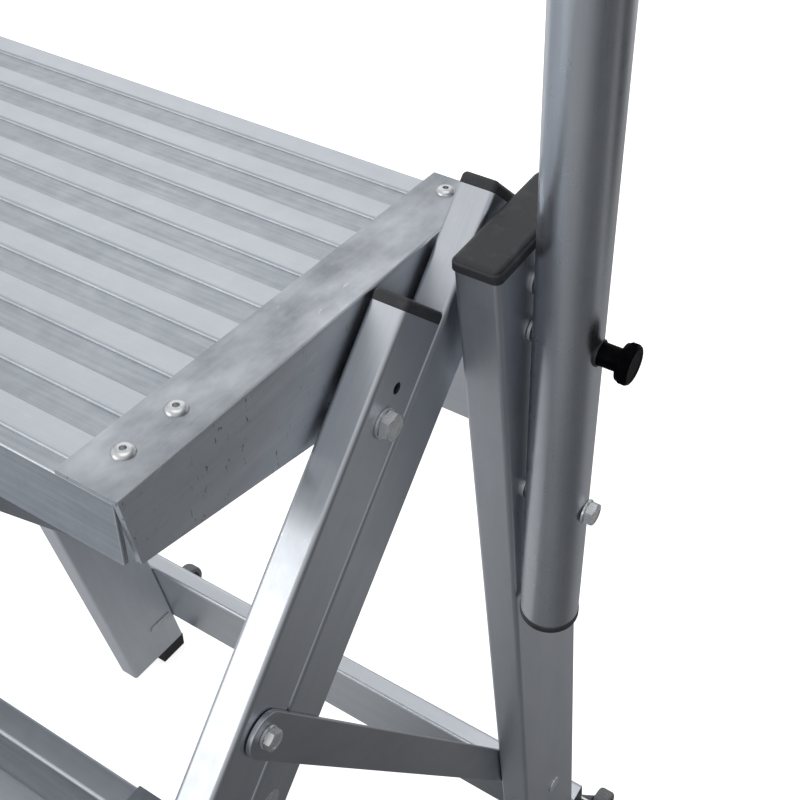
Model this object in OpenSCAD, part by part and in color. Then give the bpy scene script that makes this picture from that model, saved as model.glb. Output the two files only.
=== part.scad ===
// Folding step stool with three treads, a standing deck and a swing-back handrail.
// The origin is the centre of the footprint on the floor: X to the right, Y to the rear, Z up.
// The side view is drawn in Y and Z with Y = 0 at the deck's rear pivot, then shifted to the origin.

/* [Steps and slopes] */
// Height of each step
riser = 220; // [210:5:230]
// Slope of the front legs from the floor, in degrees
front_slope = 49.3; // [48:0.1:51]
// Lean of the rear legs from the vertical, in degrees
rear_lean = 11.8; // [10:0.1:13]
// Forward lean of the handrail posts, in degrees
rail_lean = 5.8; // [4:0.1:7]

/* [Deck and treads] */
// Width of the deck and the treads over their end plates
deck_w = 450; // [380:5:520]
// Deck plank in front of the rear pivot
deck_ahead = 229; // [215:1:245]
// Deck plank behind the rear pivot
deck_behind = 33; // [30:1:36]
// Depth of a tread plank
tread_depth = 140; // [120:1:144]
// Tread nosing in front of the front leg's pivot
tread_nose = 85; // [75:1:88]
// Thickness of the end plates
plate_t = 3; // [2.5:0.1:4]
// Width of the flange that lies over the plank's end
flange_w = 32; // [28:1:40]
// Thickness of that flange
flange_t = 2.5; // [2:0.1:3]
// Thickness of the plank's top sheet
plank_t = 2.5; // [2:0.1:3]
// Height of the grip bands on the planks
band_h = 1.5; // [1:0.1:2]
// Width of one grip band
band_w = 15.7; // [12:0.1:18]
// Distance from one grip band to the next
band_pitch = 29.8; // [26:0.1:32]
// Depth of the plank's front wall
front_wall_h = 38; // [30:1:40]
// Depth of the plank's rear wall
rear_wall_h = 25; // [20:1:28]
// Thickness of the plank's upright walls
wall_t = 3; // [2:0.1:3.5]

/* [Front legs and link bars] */
// Width of a bar, seen from the side
bar_w = 40; // [36:1:44]
// Thickness of a bar
bar_t = 20; // [18:1:24]
// Corner radius of a bar
bar_r = 3; // [2.5:0.5:6]
// Gap between the front leg and the link bar when the stool stands
bar_gap = 0.6; // [0.4:0.1:1.5]
// Distance between the front and rear pivots, front to back
pivot_dy = 88.6; // [84:0.1:94]
// Depth of the rear pivot below the deck's top
pivot_drop = 12.4; // [12:0.1:14]
// Front leg's metal above its deck pivot
front_leg_top = 51; // [40:1:56]
// Open hole above the front leg's deck pivot
spare_hole_up = 17; // [15:1:24]
// Diameter of that open hole
spare_hole_d = 6; // [4:0.5:8]
// Link bar's metal above its deck pivot
link_bar_top = 29; // [20:1:34]
// Link bar below its lowest tread pivot
link_bar_tail = 30; // [20:1:36]
// Brace pivot below the front leg's deck pivot
brace_drop = 156; // [150:1:162]

/* [Rear legs] */
// Depth of a rear leg, seen from the side
leg_w = 80; // [74:1:84]
// Thickness of a rear leg
leg_t = 24; // [20:1:28]
// Corner radius of a rear leg
leg_r = 3; // [2.5:0.5:6]
// Rear leg's centre line behind the deck pivot
leg_back = 5.3; // [3:0.1:8]
// Rear leg's metal above the deck's top
leg_top_up = 9; // [4:0.5:12]
// Tilt of the rear leg's cap, rising to the rear, in degrees
leg_cap_tilt = 5; // [0:1:10]
// Thickness of the rear leg's cap
leg_cap_t = 7; // [5:0.5:9]
// How far the rear leg's cap stands over the tube
leg_cap_over = 1.2; // [0.6:0.1:1.6]
// Wall of the leg and bar tubes
tube_wall = 2; // [1.6:0.1:2.5]
// Height of a cross tube
cross_h = 105; // [90:1:110]
// Thickness of a cross tube
cross_t = 20; // [16:1:24]
// Lower cross tube's front bottom edge above the floor
cross_low_z = 57; // [50:1:70]
// Upper cross tube's front bottom edge below the deck's top
cross_high_drop = 203; // [190:1:230]

/* [Braces] */
// Width of a brace
brace_w = 25; // [20:1:28]
// Thickness of a brace
brace_t = 3; // [2.5:0.1:4]
// Height of the brace's rivet on the rear leg
brace_foot_z = 270; // [262:1:278]
// Brace rivet behind the rear leg's centre line
brace_foot_back = 3; // [0:0.5:8]

/* [Handrail] */
// Diameter of the handrail tube
rail_d = 35; // [32:0.5:38]
// Wall of the handrail tube
rail_wall = 2; // [1.5:0.1:2.5]
// Bend radius of the handrail, on the tube's centre line
rail_bend = 90; // [70:1:110]
// Top of the handrail above the deck
rail_up = 520; // [420:5:620]
// Handrail pivot behind the deck pivot
rail_pivot_back = 12.4; // [8:0.1:16]
// Handrail pivot below the deck's top
rail_pivot_drop = 158; // [150:1:170]
// Handrail tube below its pivot
rail_tail = 98; // [90:1:110]
// Locking plunger above the handrail pivot, along the post
plunger_up = 116.8; // [110:0.1:120]
// Thickness of the spacers between the rear leg and the handrail
rail_spacer_t = 2; // [2:0.1:3]
// Travel of the locking plunger
plunger_travel = 8; // [6:0.5:9]
// Diameter of the plunger's knurled head
knob_d = 21; // [18:0.5:24]
// Thickness of that head
knob_t = 6; // [5:0.5:8]
// Diameter of the plunger's neck
neck_d = 12; // [10:0.5:13]
// Neck's length outside the post, with the plunger pulled out
neck_out = 10; // [9.5:0.1:14]
// Diameter of the plunger's pin
plunger_pin_d = 6; // [5:0.5:7]

/* [Transport wheels] */
// Radius of a transport wheel
wheel_r = 20; // [17:1:24]
// Width of a transport wheel
wheel_w = 15; // [12:1:18]
// Wheel's axle above the floor
wheel_z = 52; // [46:1:60]
// Wheel's axle behind the lower cross tube's rear face
wheel_back = 46; // [42:1:52]
// Wheel's middle outside the rear leg's outer face
wheel_out = 5; // [3:1:8]
// Thickness of the wheel bracket's sheet
bracket_t = 2; // [1.5:0.1:2.5]
// Width of the bracket's plate beside the wheel
bracket_ear = 22; // [18:1:26]
// Diameter of the wheel's axle
axle_d = 6; // [5:0.5:8]

/* [Feet and caps] */
// Height of the front foot under the front leg
front_foot_h = 20; // [16:1:26]
// Length of the front foot on the floor
front_foot_l = 58; // [56:1:66]
// How far the front foot stands out on each side of the leg
front_foot_side = 3; // [1:0.5:4]
// Height of the rear foot under the rear leg
rear_foot_h = 19; // [14:1:24]
// Length of the rear foot on the floor
rear_foot_l = 35; // [30:1:60]
// Thickness of the bars' end caps
cap_t = 6; // [4:0.5:7]
// Depth of a cap's plug inside its tube
plug_deep = 14; // [10:1:18]

/* [Fasteners] */
// Diameter of the pivot bolts
bolt_d = 8; // [7:0.5:9]
// Width across flats of the hexagon heads and nuts
hex_af = 13; // [12:0.5:14]
// Width across flats of the handrail bolts' heads
rail_hex_af = 12; // [11:0.5:13]
// Width across flats of the brace bolts' heads
brace_hex_af = 10; // [9:0.5:12]
// Diameter of the brace bolts
brace_bolt_d = 6; // [5:0.5:7]
// Height of a hexagon head
hex_h = 5.3; // [4.5:0.1:6]
// Height of a nut
nut_h = 6.5; // [5:0.1:7]
// Diameter of a washer
washer_d = 16; // [15:0.5:18]
// Thickness of a washer
washer_t = 1.6; // [1.2:0.1:2]
// Diameter of the deck's rear pivot pins
pin_d = 10; // [8:0.5:11]
// Diameter of the pins' flat heads
pin_head_d = 16; // [14:0.5:18]
// Thickness of the pins' flat heads
pin_head_t = 1.6; // [1:0.1:1.7]
// Diameter of the domed rivet heads
rivet_d = 10.5; // [9:0.5:12]
// Height of the domed rivet heads
rivet_h = 2.4; // [1.8:0.1:3]

/* [Hidden] */
$fn = 64;
tread_count = 3;

// Running clearance of a pin in its bore, a plug in its tube, and sliding faces
pin_fit = 0.05;
plug_fit = 0.15;
face_gap = 0.4;
layer_gap = 0.5;
cut_over = 1;
far = 400;

// Layers from the deck's side outwards
plate_x = deck_w / 2;
boss_h = 1.6;
bar_x = plate_x + boss_h + face_gap;
bar_out = bar_x + bar_t;
brace_x = bar_out + layer_gap;
brace_out = brace_x + brace_t;
leg_x = brace_out + layer_gap;
leg_out = leg_x + leg_t;
rail_in = leg_out + rail_spacer_t;
rail_x = rail_in + rail_d / 2;
rail_out = rail_x + rail_d / 2;

// Pivots of the deck and the bars, as [y, z]
deck_z = riser * (tread_count + 1);
link_step = riser / sin(front_slope);
bar_spacing = bar_w + bar_gap;
pivot_dz = (pivot_dy * sin(front_slope) - bar_spacing) / cos(front_slope);
deck_pivot = [0, deck_z - pivot_drop];
front_pivot = [-pivot_dy, deck_z - pivot_drop - pivot_dz];
front_drop = pivot_drop + pivot_dz;
function down_bar(start, distance) =
    [start[0] - distance * cos(front_slope), start[1] - distance * sin(front_slope)];
function tread_pivot(step) = down_bar(front_pivot, link_step * step);
brace_head = down_bar(front_pivot, brace_drop);

// Rear leg's centre line: y at a height
function leg_y(z) = leg_back + tan(rear_lean) * (deck_pivot[1] - z);
leg_origin = [leg_back, deck_pivot[1]];
leg_high = (deck_z + leg_top_up - deck_pivot[1]) / cos(rear_lean);
leg_low = -deck_pivot[1] / cos(rear_lean);
brace_foot = [leg_y(brace_foot_z) + brace_foot_back, brace_foot_z];
brace_len = norm(brace_head - brace_foot);
brace_angle = atan2(brace_head[1] - brace_foot[1], brace_head[0] - brace_foot[0]);

// Cross tubes: height of the front bottom edge, measured along the leg
cross_r = 2;
cross_low_along = (cross_low_z - deck_pivot[1] - leg_w / 2 * sin(rear_lean)) / cos(rear_lean);
cross_high_along =
    (pivot_drop - cross_high_drop - leg_w / 2 * sin(rear_lean)) / cos(rear_lean);
cross_rivet_up = [0.25, 0.75];
cross_rivet_r = 3;

// Handrail
rail_pivot = [rail_pivot_back, deck_z - rail_pivot_drop];
rail_high = (deck_z + rail_up - rail_pivot[1]) / cos(rail_lean) - rail_d / 2;
plunger_at = [rail_pivot[0] - plunger_up * sin(rail_lean),
              rail_pivot[1] + plunger_up * cos(rail_lean)];
rail_cap_t = 6;
rail_cap_over = 0.4;
rail_spacer_r = 7;
bush_r = 8;
bush_l = 8;
bush_x = rail_x - sqrt(pow(rail_d / 2 - rail_wall, 2) - pow(bush_r, 2)) + 0.1;
neck_hole_r = neck_d / 2 + 0.5;
collar_d = knob_d - 1.6;
collar_t = 1.8;

// Wheels and their brackets
cross_low_mid = [leg_w / 2 + cross_t, cross_low_along + cross_h / 2];
cross_face_y = leg_back + cross_low_mid[0] * cos(rear_lean) - cross_low_mid[1] * sin(rear_lean);
wheel_y = cross_face_y + wheel_back;
wheel_x = leg_out + wheel_out;
cheek_gap = 0.6;
cheek_in = wheel_x - wheel_w / 2 - cheek_gap;
cheek_out = wheel_x + wheel_w / 2 + cheek_gap;
cheek_r = 9;
bracket_h = 38;
bracket_rivet_r = 2.4;

// Feet
front_foot_y = front_pivot[0] - (front_pivot[1] - front_foot_h) / tan(front_slope);
foot_slant = 8;
front_plug_deep = 40;
rear_foot_edge = leg_y(rear_foot_h) + leg_w / 2 / cos(rear_lean);
foot_plate = [32, 9, 1.6];
foot_plate_z = 71;
foot_plate_back = leg_w / 4;

// Deck end plate and tread bracket
plate_front = -deck_ahead - 1.2;
plate_slope = 10.3;
plate_low = 39;
plate_chamfer = 6.5;
plate_rear = deck_behind + 5.3;
plank_gap = 1;
plank_x = plate_x - plate_t - plank_gap;
plank_top = flange_t + band_h;
plank_low = plank_top + plank_t;
boss_r = 11;
bracket_low = front_drop + 15;
bracket_rear = pivot_dy + 16;
web_h = 18;
rivet_inset = flange_w / 2 + 1;
rivet_hole_r = 1.5;
rivet_shank_r = 2.4;
csk_h = 3.5;
csk_r = 7.5;
rivet_y = [plate_front + 21.6, plate_front + 52, plate_rear - 13];
tread_rivet_y = [-tread_nose + 20, -tread_nose + tread_depth - 18];

// Shift that puts the footprint's centre at the origin
foot_front = front_foot_y - front_foot_l / 2 - foot_slant;
wheel_rear = wheel_y + wheel_r;
mid_y = (foot_front + wheel_rear) / 2;

// Placing and mirroring
module to_origin() {
    translate([0, -mid_y, 0]) children();
}

module both_sides() {
    children();
    mirror([1, 0, 0]) children();
}

module left_side() {
    mirror([1, 0, 0]) children();
}

module at_point(point) {
    translate([0, point[0], point[1]]) children();
}

// Frame along a bar: z up the bar, y to its rear
module along_bar(pivot) {
    at_point(pivot) rotate([front_slope - 90, 0, 0]) children();
}

// Frame along a rear leg: z up the leg, y to its rear
module along_leg() {
    at_point(leg_origin) rotate([rear_lean, 0, 0]) children();
}

// Frame along a handrail post: z up the post
module along_rail() {
    at_point(rail_pivot) rotate([rail_lean, 0, 0]) children();
}

// Outline in y and z, made into a slab from one x to another
module slab_x(x_from, x_to) {
    translate([x_from, 0, 0]) rotate([90, 0, 90]) linear_extrude(x_to - x_from) children();
}

// Shapes that repeat
module rounded_rect(across, deep, r) {
    square([across - 2 * r, deep], center = true);
    square([across, deep - 2 * r], center = true);
    for (sx = [-1, 1], sy = [-1, 1])
        translate([sx * (across / 2 - r), sy * (deep / 2 - r)]) circle(r);
}

module rod_x(r, x_from, x_to) {
    translate([x_from, 0, 0]) rotate([0, 90, 0]) cylinder(r = r, h = x_to - x_from);
}

module ring_x(r, hole_r, x_from, x_to) {
    difference() {
        rod_x(r, x_from, x_to);
        rod_x(hole_r, x_from - cut_over, x_to + cut_over);
    }
}

module hex_x(x_from, x_to, af) {
    translate([x_from, 0, 0]) rotate([0, 90, 0])
        cylinder(d = af / cos(30), h = x_to - x_from, $fn = 6);
}

// Bolts and nuts: a smaller hexagon is lower in proportion
module hex_bolt_x(x_tip, x_seat, af = hex_af, d = bolt_d) {
    rod_x(d / 2, x_tip, x_seat);
    hex_x(x_seat, x_seat + hex_h * af / hex_af, af);
}

module nut_x(x_to, af = hex_af, d = bolt_d) {
    x_from = x_to - nut_h * af / hex_af;
    difference() {
        hex_x(x_from, x_to, af);
        rod_x(d / 2 + pin_fit, x_from - cut_over, x_to + cut_over);
    }
}

// Rivet pointing up from a sheet: domed head with a centre hole, and its shank
module dome_rivet(r, h, shank_r, shank_l) {
    ball_r = (r * r + h * h) / (2 * h);
    difference() {
        union() {
            intersection() {
                translate([0, 0, h - ball_r]) sphere(ball_r);
                cylinder(r = r, h = h);
            }
            translate([0, 0, -shank_l]) cylinder(r = shank_r, h = shank_l + cut_over);
        }
        translate([0, 0, h / 3]) cylinder(r = min(rivet_hole_r, r / 2.5), h = h);
    }
}

module tube_section(across, deep, r, wall) {
    difference() {
        rounded_rect(across, deep, r);
        rounded_rect(across - 2 * wall, deep - 2 * wall, max(r - wall, 0.5));
    }
}

module plug_section(across, deep, r, wall) {
    inset = 2 * (wall + plug_fit);
    rounded_rect(across - inset, deep - inset, max(r - wall, 0.5));
}

module bar_tube(low, high) {
    translate([bar_x + bar_t / 2, 0, low]) linear_extrude(high - low)
        tube_section(bar_t, bar_w, bar_r, tube_wall);
}

module bar_cap(at_z) {
    translate([bar_x + bar_t / 2, 0, at_z]) {
        linear_extrude(cap_t) rounded_rect(bar_t, bar_w, bar_r);
        translate([0, 0, -plug_deep]) linear_extrude(plug_deep + cut_over)
            plug_section(bar_t, bar_w, bar_r, tube_wall);
    }
}

// Rear frame
module rear_leg() {
    difference() {
        along_leg() translate([leg_x + leg_t / 2, 0, leg_low - far])
            linear_extrude(leg_high - leg_low + 2 * far)
                tube_section(leg_t, leg_w, leg_r, tube_wall);
        at_point([leg_y(deck_z + leg_top_up), deck_z + leg_top_up]) rotate([leg_cap_tilt, 0, 0])
            translate([0, -far, 0]) cube([far, 2 * far, 2 * far]);
        translate([0, -far, rear_foot_h - 2 * far]) cube([far, 3 * far, 2 * far]);
        at_point(deck_pivot) rod_x(pin_d / 2 + pin_fit, 0, far);
        at_point(rail_pivot) rod_x(bolt_d / 2 + pin_fit, 0, far);
        at_point(brace_foot) rod_x(bolt_d / 2 + pin_fit, 0, far);
        at_point(plunger_at) rod_x(plunger_pin_d / 2 + 0.3, leg_out - tube_wall - cut_over, far);
        for (start = [cross_low_along, cross_high_along], share = cross_rivet_up)
            along_leg() translate([leg_x + leg_t / 2, leg_w / 2 - 2 * tube_wall,
                                   start + share * cross_h])
                rotate([-90, 0, 0]) cylinder(r = cross_rivet_r + pin_fit, h = far / 10);
    }
}

module rear_leg_right() {
    color("lightsteelblue") to_origin() rear_leg();
}

module rear_leg_left() {
    color("lightsteelblue") to_origin() left_side() rear_leg();
}

// Cap plate over the tilted cut, with a plug cut by the same plane
module rear_leg_cap() {
    cap_l = leg_w / cos(rear_lean - leg_cap_tilt) + 2 * leg_cap_over;
    cap_w = leg_t + 2 * leg_cap_over;
    soft = 1.5;
    at_point([leg_y(deck_z + leg_top_up), deck_z + leg_top_up]) rotate([leg_cap_tilt, 0, 0])
        translate([leg_x + leg_t / 2, 0, 0]) {
            linear_extrude(leg_cap_t - soft) rounded_rect(cap_w, cap_l, leg_r + leg_cap_over);
            translate([0, 0, leg_cap_t - soft]) linear_extrude(soft)
                rounded_rect(cap_w - soft, cap_l - soft, leg_r);
        }
    difference() {
        along_leg() translate([leg_x + leg_t / 2, 0, leg_high - plug_deep]) linear_extrude(far / 10)
            plug_section(leg_t, leg_w, leg_r, tube_wall);
        at_point([leg_y(deck_z + leg_top_up), deck_z + leg_top_up]) rotate([leg_cap_tilt, 0, 0])
            translate([0, -far, leg_cap_t / 2]) cube([far, 2 * far, 2 * far]);
    }
}

module rear_leg_caps() {
    color("dimgray") to_origin() both_sides() rear_leg_cap();
}

// Tab under the leg's rear edge, with a plug up inside the tube
module rear_foot() {
    slab_x(leg_x, leg_out) translate([rear_foot_edge - rear_foot_l, 0])
        square([rear_foot_l, rear_foot_h]);
    difference() {
        along_leg() translate([leg_x + leg_t / 2, 0, leg_low - far / 10])
            linear_extrude(far / 10 + front_plug_deep + rear_foot_h)
                plug_section(leg_t, leg_w, leg_r, tube_wall);
        translate([0, -far, rear_foot_h - far - cut_over]) cube([far, 3 * far, far]);
        translate([0, -far, rear_foot_h - far]) cube([far, far + rear_foot_edge - rear_foot_l, far]);
    }
}

module rear_feet() {
    color("dimgray") to_origin() both_sides() rear_foot();
}

module foot_plates() {
    color("silver") to_origin() both_sides()
        at_point([leg_y(foot_plate_z) + foot_plate_back, foot_plate_z])
            slab_x(leg_x - foot_plate[2], leg_x) {
                square([foot_plate[0] - foot_plate[1], foot_plate[1]], center = true);
                for (side = [-1, 1])
                    translate([side * (foot_plate[0] - foot_plate[1]) / 2, 0])
                        circle(foot_plate[1] / 2);
            }
}

module cross_rivet_holes(start) {
    for (side = [-1, 1], share = cross_rivet_up)
        translate([side * (leg_x + leg_t / 2), leg_w / 2 - cut_over, start + share * cross_h])
            rotate([-90, 0, 0]) cylinder(r = cross_rivet_r + pin_fit, h = cross_t + 2 * cut_over);
}

module cross_tube(start) {
    along_leg() difference() {
        translate([-leg_out, leg_w / 2 + cross_t / 2, start + cross_h / 2])
            rotate([90, 0, 90]) linear_extrude(2 * leg_out)
                tube_section(cross_t, cross_h, cross_r + tube_wall, tube_wall);
        cross_rivet_holes(start);
        if (start == cross_low_along) bracket_rivet_holes();
    }
}

module upper_cross_tube() {
    color("lightsteelblue") to_origin() cross_tube(cross_high_along);
}

module lower_cross_tube() {
    color("lightsteelblue") to_origin() cross_tube(cross_low_along);
}

module cross_tube_plugs() {
    rivet_room = leg_out - leg_x - leg_t / 2 - cross_rivet_r - 2 * pin_fit;
    color("dimgray") to_origin() both_sides() along_leg()
        for (start = [cross_low_along, cross_high_along])
            translate([leg_out - min(plug_deep, rivet_room) + 0.5, leg_w / 2 + cross_t / 2,
                       start + cross_h / 2])
                rotate([90, 0, 90]) linear_extrude(min(plug_deep, rivet_room) - 0.5)
                    plug_section(cross_t, cross_h, cross_r + tube_wall, tube_wall);
}

module cross_tube_rivets() {
    color("silver") to_origin() both_sides() along_leg()
        for (start = [cross_low_along, cross_high_along], share = cross_rivet_up)
            translate([leg_x + leg_t / 2, leg_w / 2 + cross_t, start + share * cross_h])
                rotate([-90, 0, 0])
                    dome_rivet(cross_rivet_r * 2, rivet_h, cross_rivet_r, cross_t + tube_wall);
}

// Wheel bracket: a plate on the cross tube's rear face and two cheeks beside the wheel
module bracket_frame() {
    along_leg() translate([0, cross_low_mid[0], cross_low_mid[1]]) children();
}

module bracket_rivet_spots() {
    for (up = [-bracket_h / 4, bracket_h / 4])
        translate([cheek_in - bracket_t - bracket_ear / 2, 0, up]) children();
}

module bracket_rivet_holes() {
    both_sides() translate([0, cross_low_mid[0], cross_low_mid[1]]) bracket_rivet_spots()
        rotate([-90, 0, 0])
            translate([0, 0, -tube_wall - cut_over])
                cylinder(r = bracket_rivet_r + pin_fit, h = tube_wall + 2 * cut_over);
}

module bracket_cheek(x_from) {
    base = [for (up = [-bracket_h / 2, bracket_h / 2])
        [cross_face_y + bracket_t * cos(rear_lean) - up * sin(rear_lean),
         deck_pivot[1] + cross_low_mid[0] * sin(rear_lean)
            + cross_low_mid[1] * cos(rear_lean) + bracket_t * sin(rear_lean)
            + up * cos(rear_lean)]];
    slab_x(x_from, x_from + bracket_t) {
        polygon([base[0], [wheel_y - cheek_r * sin(20), wheel_z - cheek_r * cos(20)],
                 [wheel_y + cheek_r * sin(35), wheel_z + cheek_r * cos(35)], base[1]]);
        translate([wheel_y, wheel_z]) circle(cheek_r);
    }
}

module wheel_bracket() {
    difference() {
        union() {
            bracket_frame() translate([cheek_in - bracket_t - bracket_ear, 0, -bracket_h / 2])
                cube([cheek_out - cheek_in + 2 * bracket_t + bracket_ear, bracket_t, bracket_h]);
            bracket_cheek(cheek_in - bracket_t);
            bracket_cheek(cheek_out);
        }
        at_point([wheel_y, wheel_z]) rod_x(axle_d / 2 + pin_fit, 0, far);
        bracket_frame() bracket_rivet_spots() rotate([-90, 0, 0])
            translate([0, 0, -cut_over]) cylinder(r = bracket_rivet_r + pin_fit, h = 2 * bracket_t
                                                  + cut_over);
    }
}

module wheel_brackets() {
    color("silver") to_origin() both_sides() wheel_bracket();
}

module wheel_bracket_rivets() {
    color("silver") to_origin() both_sides() bracket_frame() bracket_rivet_spots()
        translate([0, bracket_t, 0]) rotate([-90, 0, 0])
            dome_rivet(bracket_rivet_r * 2, rivet_h * 0.8, bracket_rivet_r, bracket_t + tube_wall);
}

module wheel_axles() {
    head_t = 1.8;
    color("silver") to_origin() both_sides() at_point([wheel_y, wheel_z]) {
        rod_x(axle_d / 2, cheek_in - bracket_t, cheek_out + bracket_t);
        rod_x(axle_d / 2 + 2.5, cheek_out + bracket_t, cheek_out + bracket_t + head_t);
        rod_x(axle_d / 2 + 1.5, cheek_in - bracket_t - head_t, cheek_in - bracket_t);
    }
}

// Deck's rear pivot: one pin through the leg, the link bar and the end plate
module deck_pivot_pins() {
    end_t = 2.5;
    end_x = plate_x - plate_t - face_gap;
    color("silver") to_origin() both_sides() at_point(deck_pivot) {
        rod_x(pin_d / 2, end_x, leg_out);
        rod_x(pin_head_d / 2, leg_out, leg_out + pin_head_t);
        rod_x(pin_d / 2 + 0.5, end_x - end_t, end_x);
    }
}

module pivot_collars() {
    color("silver") to_origin() both_sides() at_point(deck_pivot)
        ring_x(pin_head_d / 2 + 1, pin_d / 2 + pin_fit, bar_out + face_gap, leg_x);
}

module rail_bolts() {
    color("silver") to_origin() both_sides() at_point(rail_pivot)
        hex_bolt_x(leg_x - 2, rail_out + washer_t, rail_hex_af);
}

module rail_washers() {
    color("silver") to_origin() both_sides() at_point(rail_pivot)
        ring_x(rail_hex_af * 0.6, bolt_d / 2 + pin_fit, rail_out, rail_out + washer_t);
}

// Low domed nut: the link bar passes over it when the stool folds
module rail_bolt_nuts() {
    room = leg_x - bar_out - 0.6;
    color("silver") to_origin() both_sides() at_point(rail_pivot)
        difference() {
            translate([leg_x, 0, 0]) rotate([0, -90, 0]) {
                cylinder(r = hex_af / 2, h = room / 2);
                cylinder(r1 = hex_af / 2, r2 = hex_af / 3, h = room);
            }
            rod_x(bolt_d / 2 + pin_fit, leg_x - 2, leg_x + cut_over);
        }
}

module rail_pivot_spacers() {
    color("silver") to_origin() both_sides() at_point(rail_pivot)
        ring_x(rail_spacer_r, bolt_d / 2 + pin_fit, leg_out, rail_in);
}

// Rivet with a flat outer head and a countersunk inner end, flush with the brace
module brace_rivets() {
    color("silver") to_origin() both_sides() at_point(brace_foot) {
        rod_x(bolt_d / 2, brace_x, leg_out);
        rod_x(pin_head_d / 2 - 1, leg_out, leg_out + pin_head_t);
        translate([brace_x, 0, 0]) rotate([0, 90, 0])
            cylinder(r1 = bolt_d / 2 + brace_t / 2, r2 = bolt_d / 2, h = brace_t / 2);
    }
}

// Plank: top sheet with grip bands, a front wall, a rear wall and two ribs, as one extrusion
module plank(y_front, y_rear, top) {
    depth = y_rear - y_front;
    bands = floor((depth - band_w) / band_pitch);
    slab_x(-plank_x, plank_x) {
        translate([y_front, top - plank_low]) square([depth, plank_t]);
        for (i = [0 : bands])
            translate([y_rear - band_w - i * band_pitch, top - plank_top - 0.01])
                square([band_w, band_h + 0.01]);
        translate([y_front, top - front_wall_h]) square([wall_t, front_wall_h - plank_top]);
        translate([y_rear - wall_t, top - rear_wall_h]) square([wall_t, rear_wall_h - plank_top]);
        for (share = [0.32, 0.64])
            translate([y_front + share * depth - wall_t / 2, top - plank_low - web_h])
                square([wall_t, web_h + plank_t / 2]);
    }
}

module deck_plank() {
    color("lightsteelblue") to_origin() difference() {
        plank(-deck_ahead, deck_behind, deck_z);
        rivet_holes(rivet_y, deck_z);
    }
}

module rivet_spots(spots, top) {
    both_sides() for (y = spots) translate([plate_x - rivet_inset, y, top]) children();
}

module rivet_holes(spots, top) {
    rivet_spots(spots, top) translate([0, 0, -plank_low - cut_over])
        cylinder(r = rivet_shank_r + pin_fit, h = plank_low + 2 * cut_over);
}

// Upright end plate with a flange over the plank
module end_plate(outline_points, y_front, y_rear, top, bosses, spots) {
    difference() {
        union() {
            slab_x(plate_x - plate_t, plate_x) polygon(outline_points);
            translate([plate_x - flange_w, y_front, top - flange_t])
                cube([flange_w - cut_over, y_rear - y_front, flange_t]);
            for (spot = bosses) at_point(spot) rod_x(boss_r, plate_x - cut_over, plate_x + boss_h);
        }
        for (i = [0 : len(bosses) - 1]) at_point(bosses[i])
            rod_x((top == deck_z && i == 1 ? pin_d : bolt_d) / 2 + pin_fit, 0, far);
        for (y = spots) translate([plate_x - rivet_inset, y, top - flange_t - cut_over])
            cylinder(r = rivet_shank_r + pin_fit, h = flange_t + 2 * cut_over);
    }
}

module deck_end_plate() {
    low_rear = plate_low + (plate_rear - plate_front) * tan(plate_slope);
    end_plate([[plate_front, deck_z], [plate_front + plate_chamfer, deck_z - plate_low],
               [plate_rear, deck_z - low_rear], [plate_rear, deck_z]],
              plate_front, plate_rear, deck_z, [front_pivot, deck_pivot], rivet_y);
}

module deck_end_plate_right() {
    color("gainsboro") to_origin() deck_end_plate();
}

module deck_end_plate_left() {
    color("gainsboro") to_origin() left_side() deck_end_plate();
}

module deck_rivets() {
    color("silver") to_origin() rivet_spots(rivet_y, deck_z)
        dome_rivet(rivet_d / 2, rivet_h, rivet_shank_r, plank_low);
}

// Front legs
module front_leg() {
    pivots = [for (step = [0 : tread_count]) link_step * step];
    difference() {
        along_bar(front_pivot) bar_tube(-link_step * (tread_count + 2), front_leg_top);
        translate([0, front_foot_y - far, front_foot_h - 2 * far]) cube([far, 2 * far, 2 * far]);
        for (distance = pivots)
            at_point(down_bar(front_pivot, distance)) rod_x(bolt_d / 2 + pin_fit, 0, far);
        at_point(brace_head) rod_x(brace_bolt_d / 2 + pin_fit, 0, far);
        at_point(down_bar(front_pivot, -spare_hole_up)) rod_x(spare_hole_d / 2, 0, far);
    }
}

module front_leg_right() {
    color("lightsteelblue") to_origin() front_leg();
}

module front_leg_left() {
    color("lightsteelblue") to_origin() left_side() front_leg();
}

module front_leg_caps() {
    color("dimgray") to_origin() both_sides() along_bar(front_pivot) bar_cap(front_leg_top);
}

// Rubber pad under the leg's slanted end, with a plug up inside the tube
module front_foot() {
    half = front_foot_l / 2;
    slab_x(bar_x - front_foot_side, bar_out + front_foot_side)
        polygon([[front_foot_y - half, front_foot_h], [front_foot_y + half, front_foot_h],
                 [front_foot_y + half - foot_slant, 0], [front_foot_y - half - foot_slant, 0]]);
    difference() {
        at_point([front_foot_y, front_foot_h]) rotate([front_slope - 90, 0, 0])
            translate([bar_x + bar_t / 2, 0, -bar_w]) linear_extrude(front_plug_deep + bar_w)
                plug_section(bar_t, bar_w, bar_r, tube_wall);
        translate([0, front_foot_y - far, front_foot_h - 2 * far - cut_over])
            cube([far, 2 * far, 2 * far]);
    }
}

module front_feet() {
    color("dimgray") to_origin() both_sides() front_foot();
}

module front_bolt_spots() {
    both_sides() for (step = [0 : tread_count]) at_point(tread_pivot(step)) children();
}

module front_bolts() {
    nut_x_from = plate_x - plate_t - face_gap - nut_h;
    color("silver") to_origin() front_bolt_spots() hex_bolt_x(nut_x_from - 1, bar_out + washer_t);
}

module front_washers() {
    color("silver") to_origin() front_bolt_spots()
        ring_x(washer_d / 2, bolt_d / 2 + pin_fit, bar_out, bar_out + washer_t);
}

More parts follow.
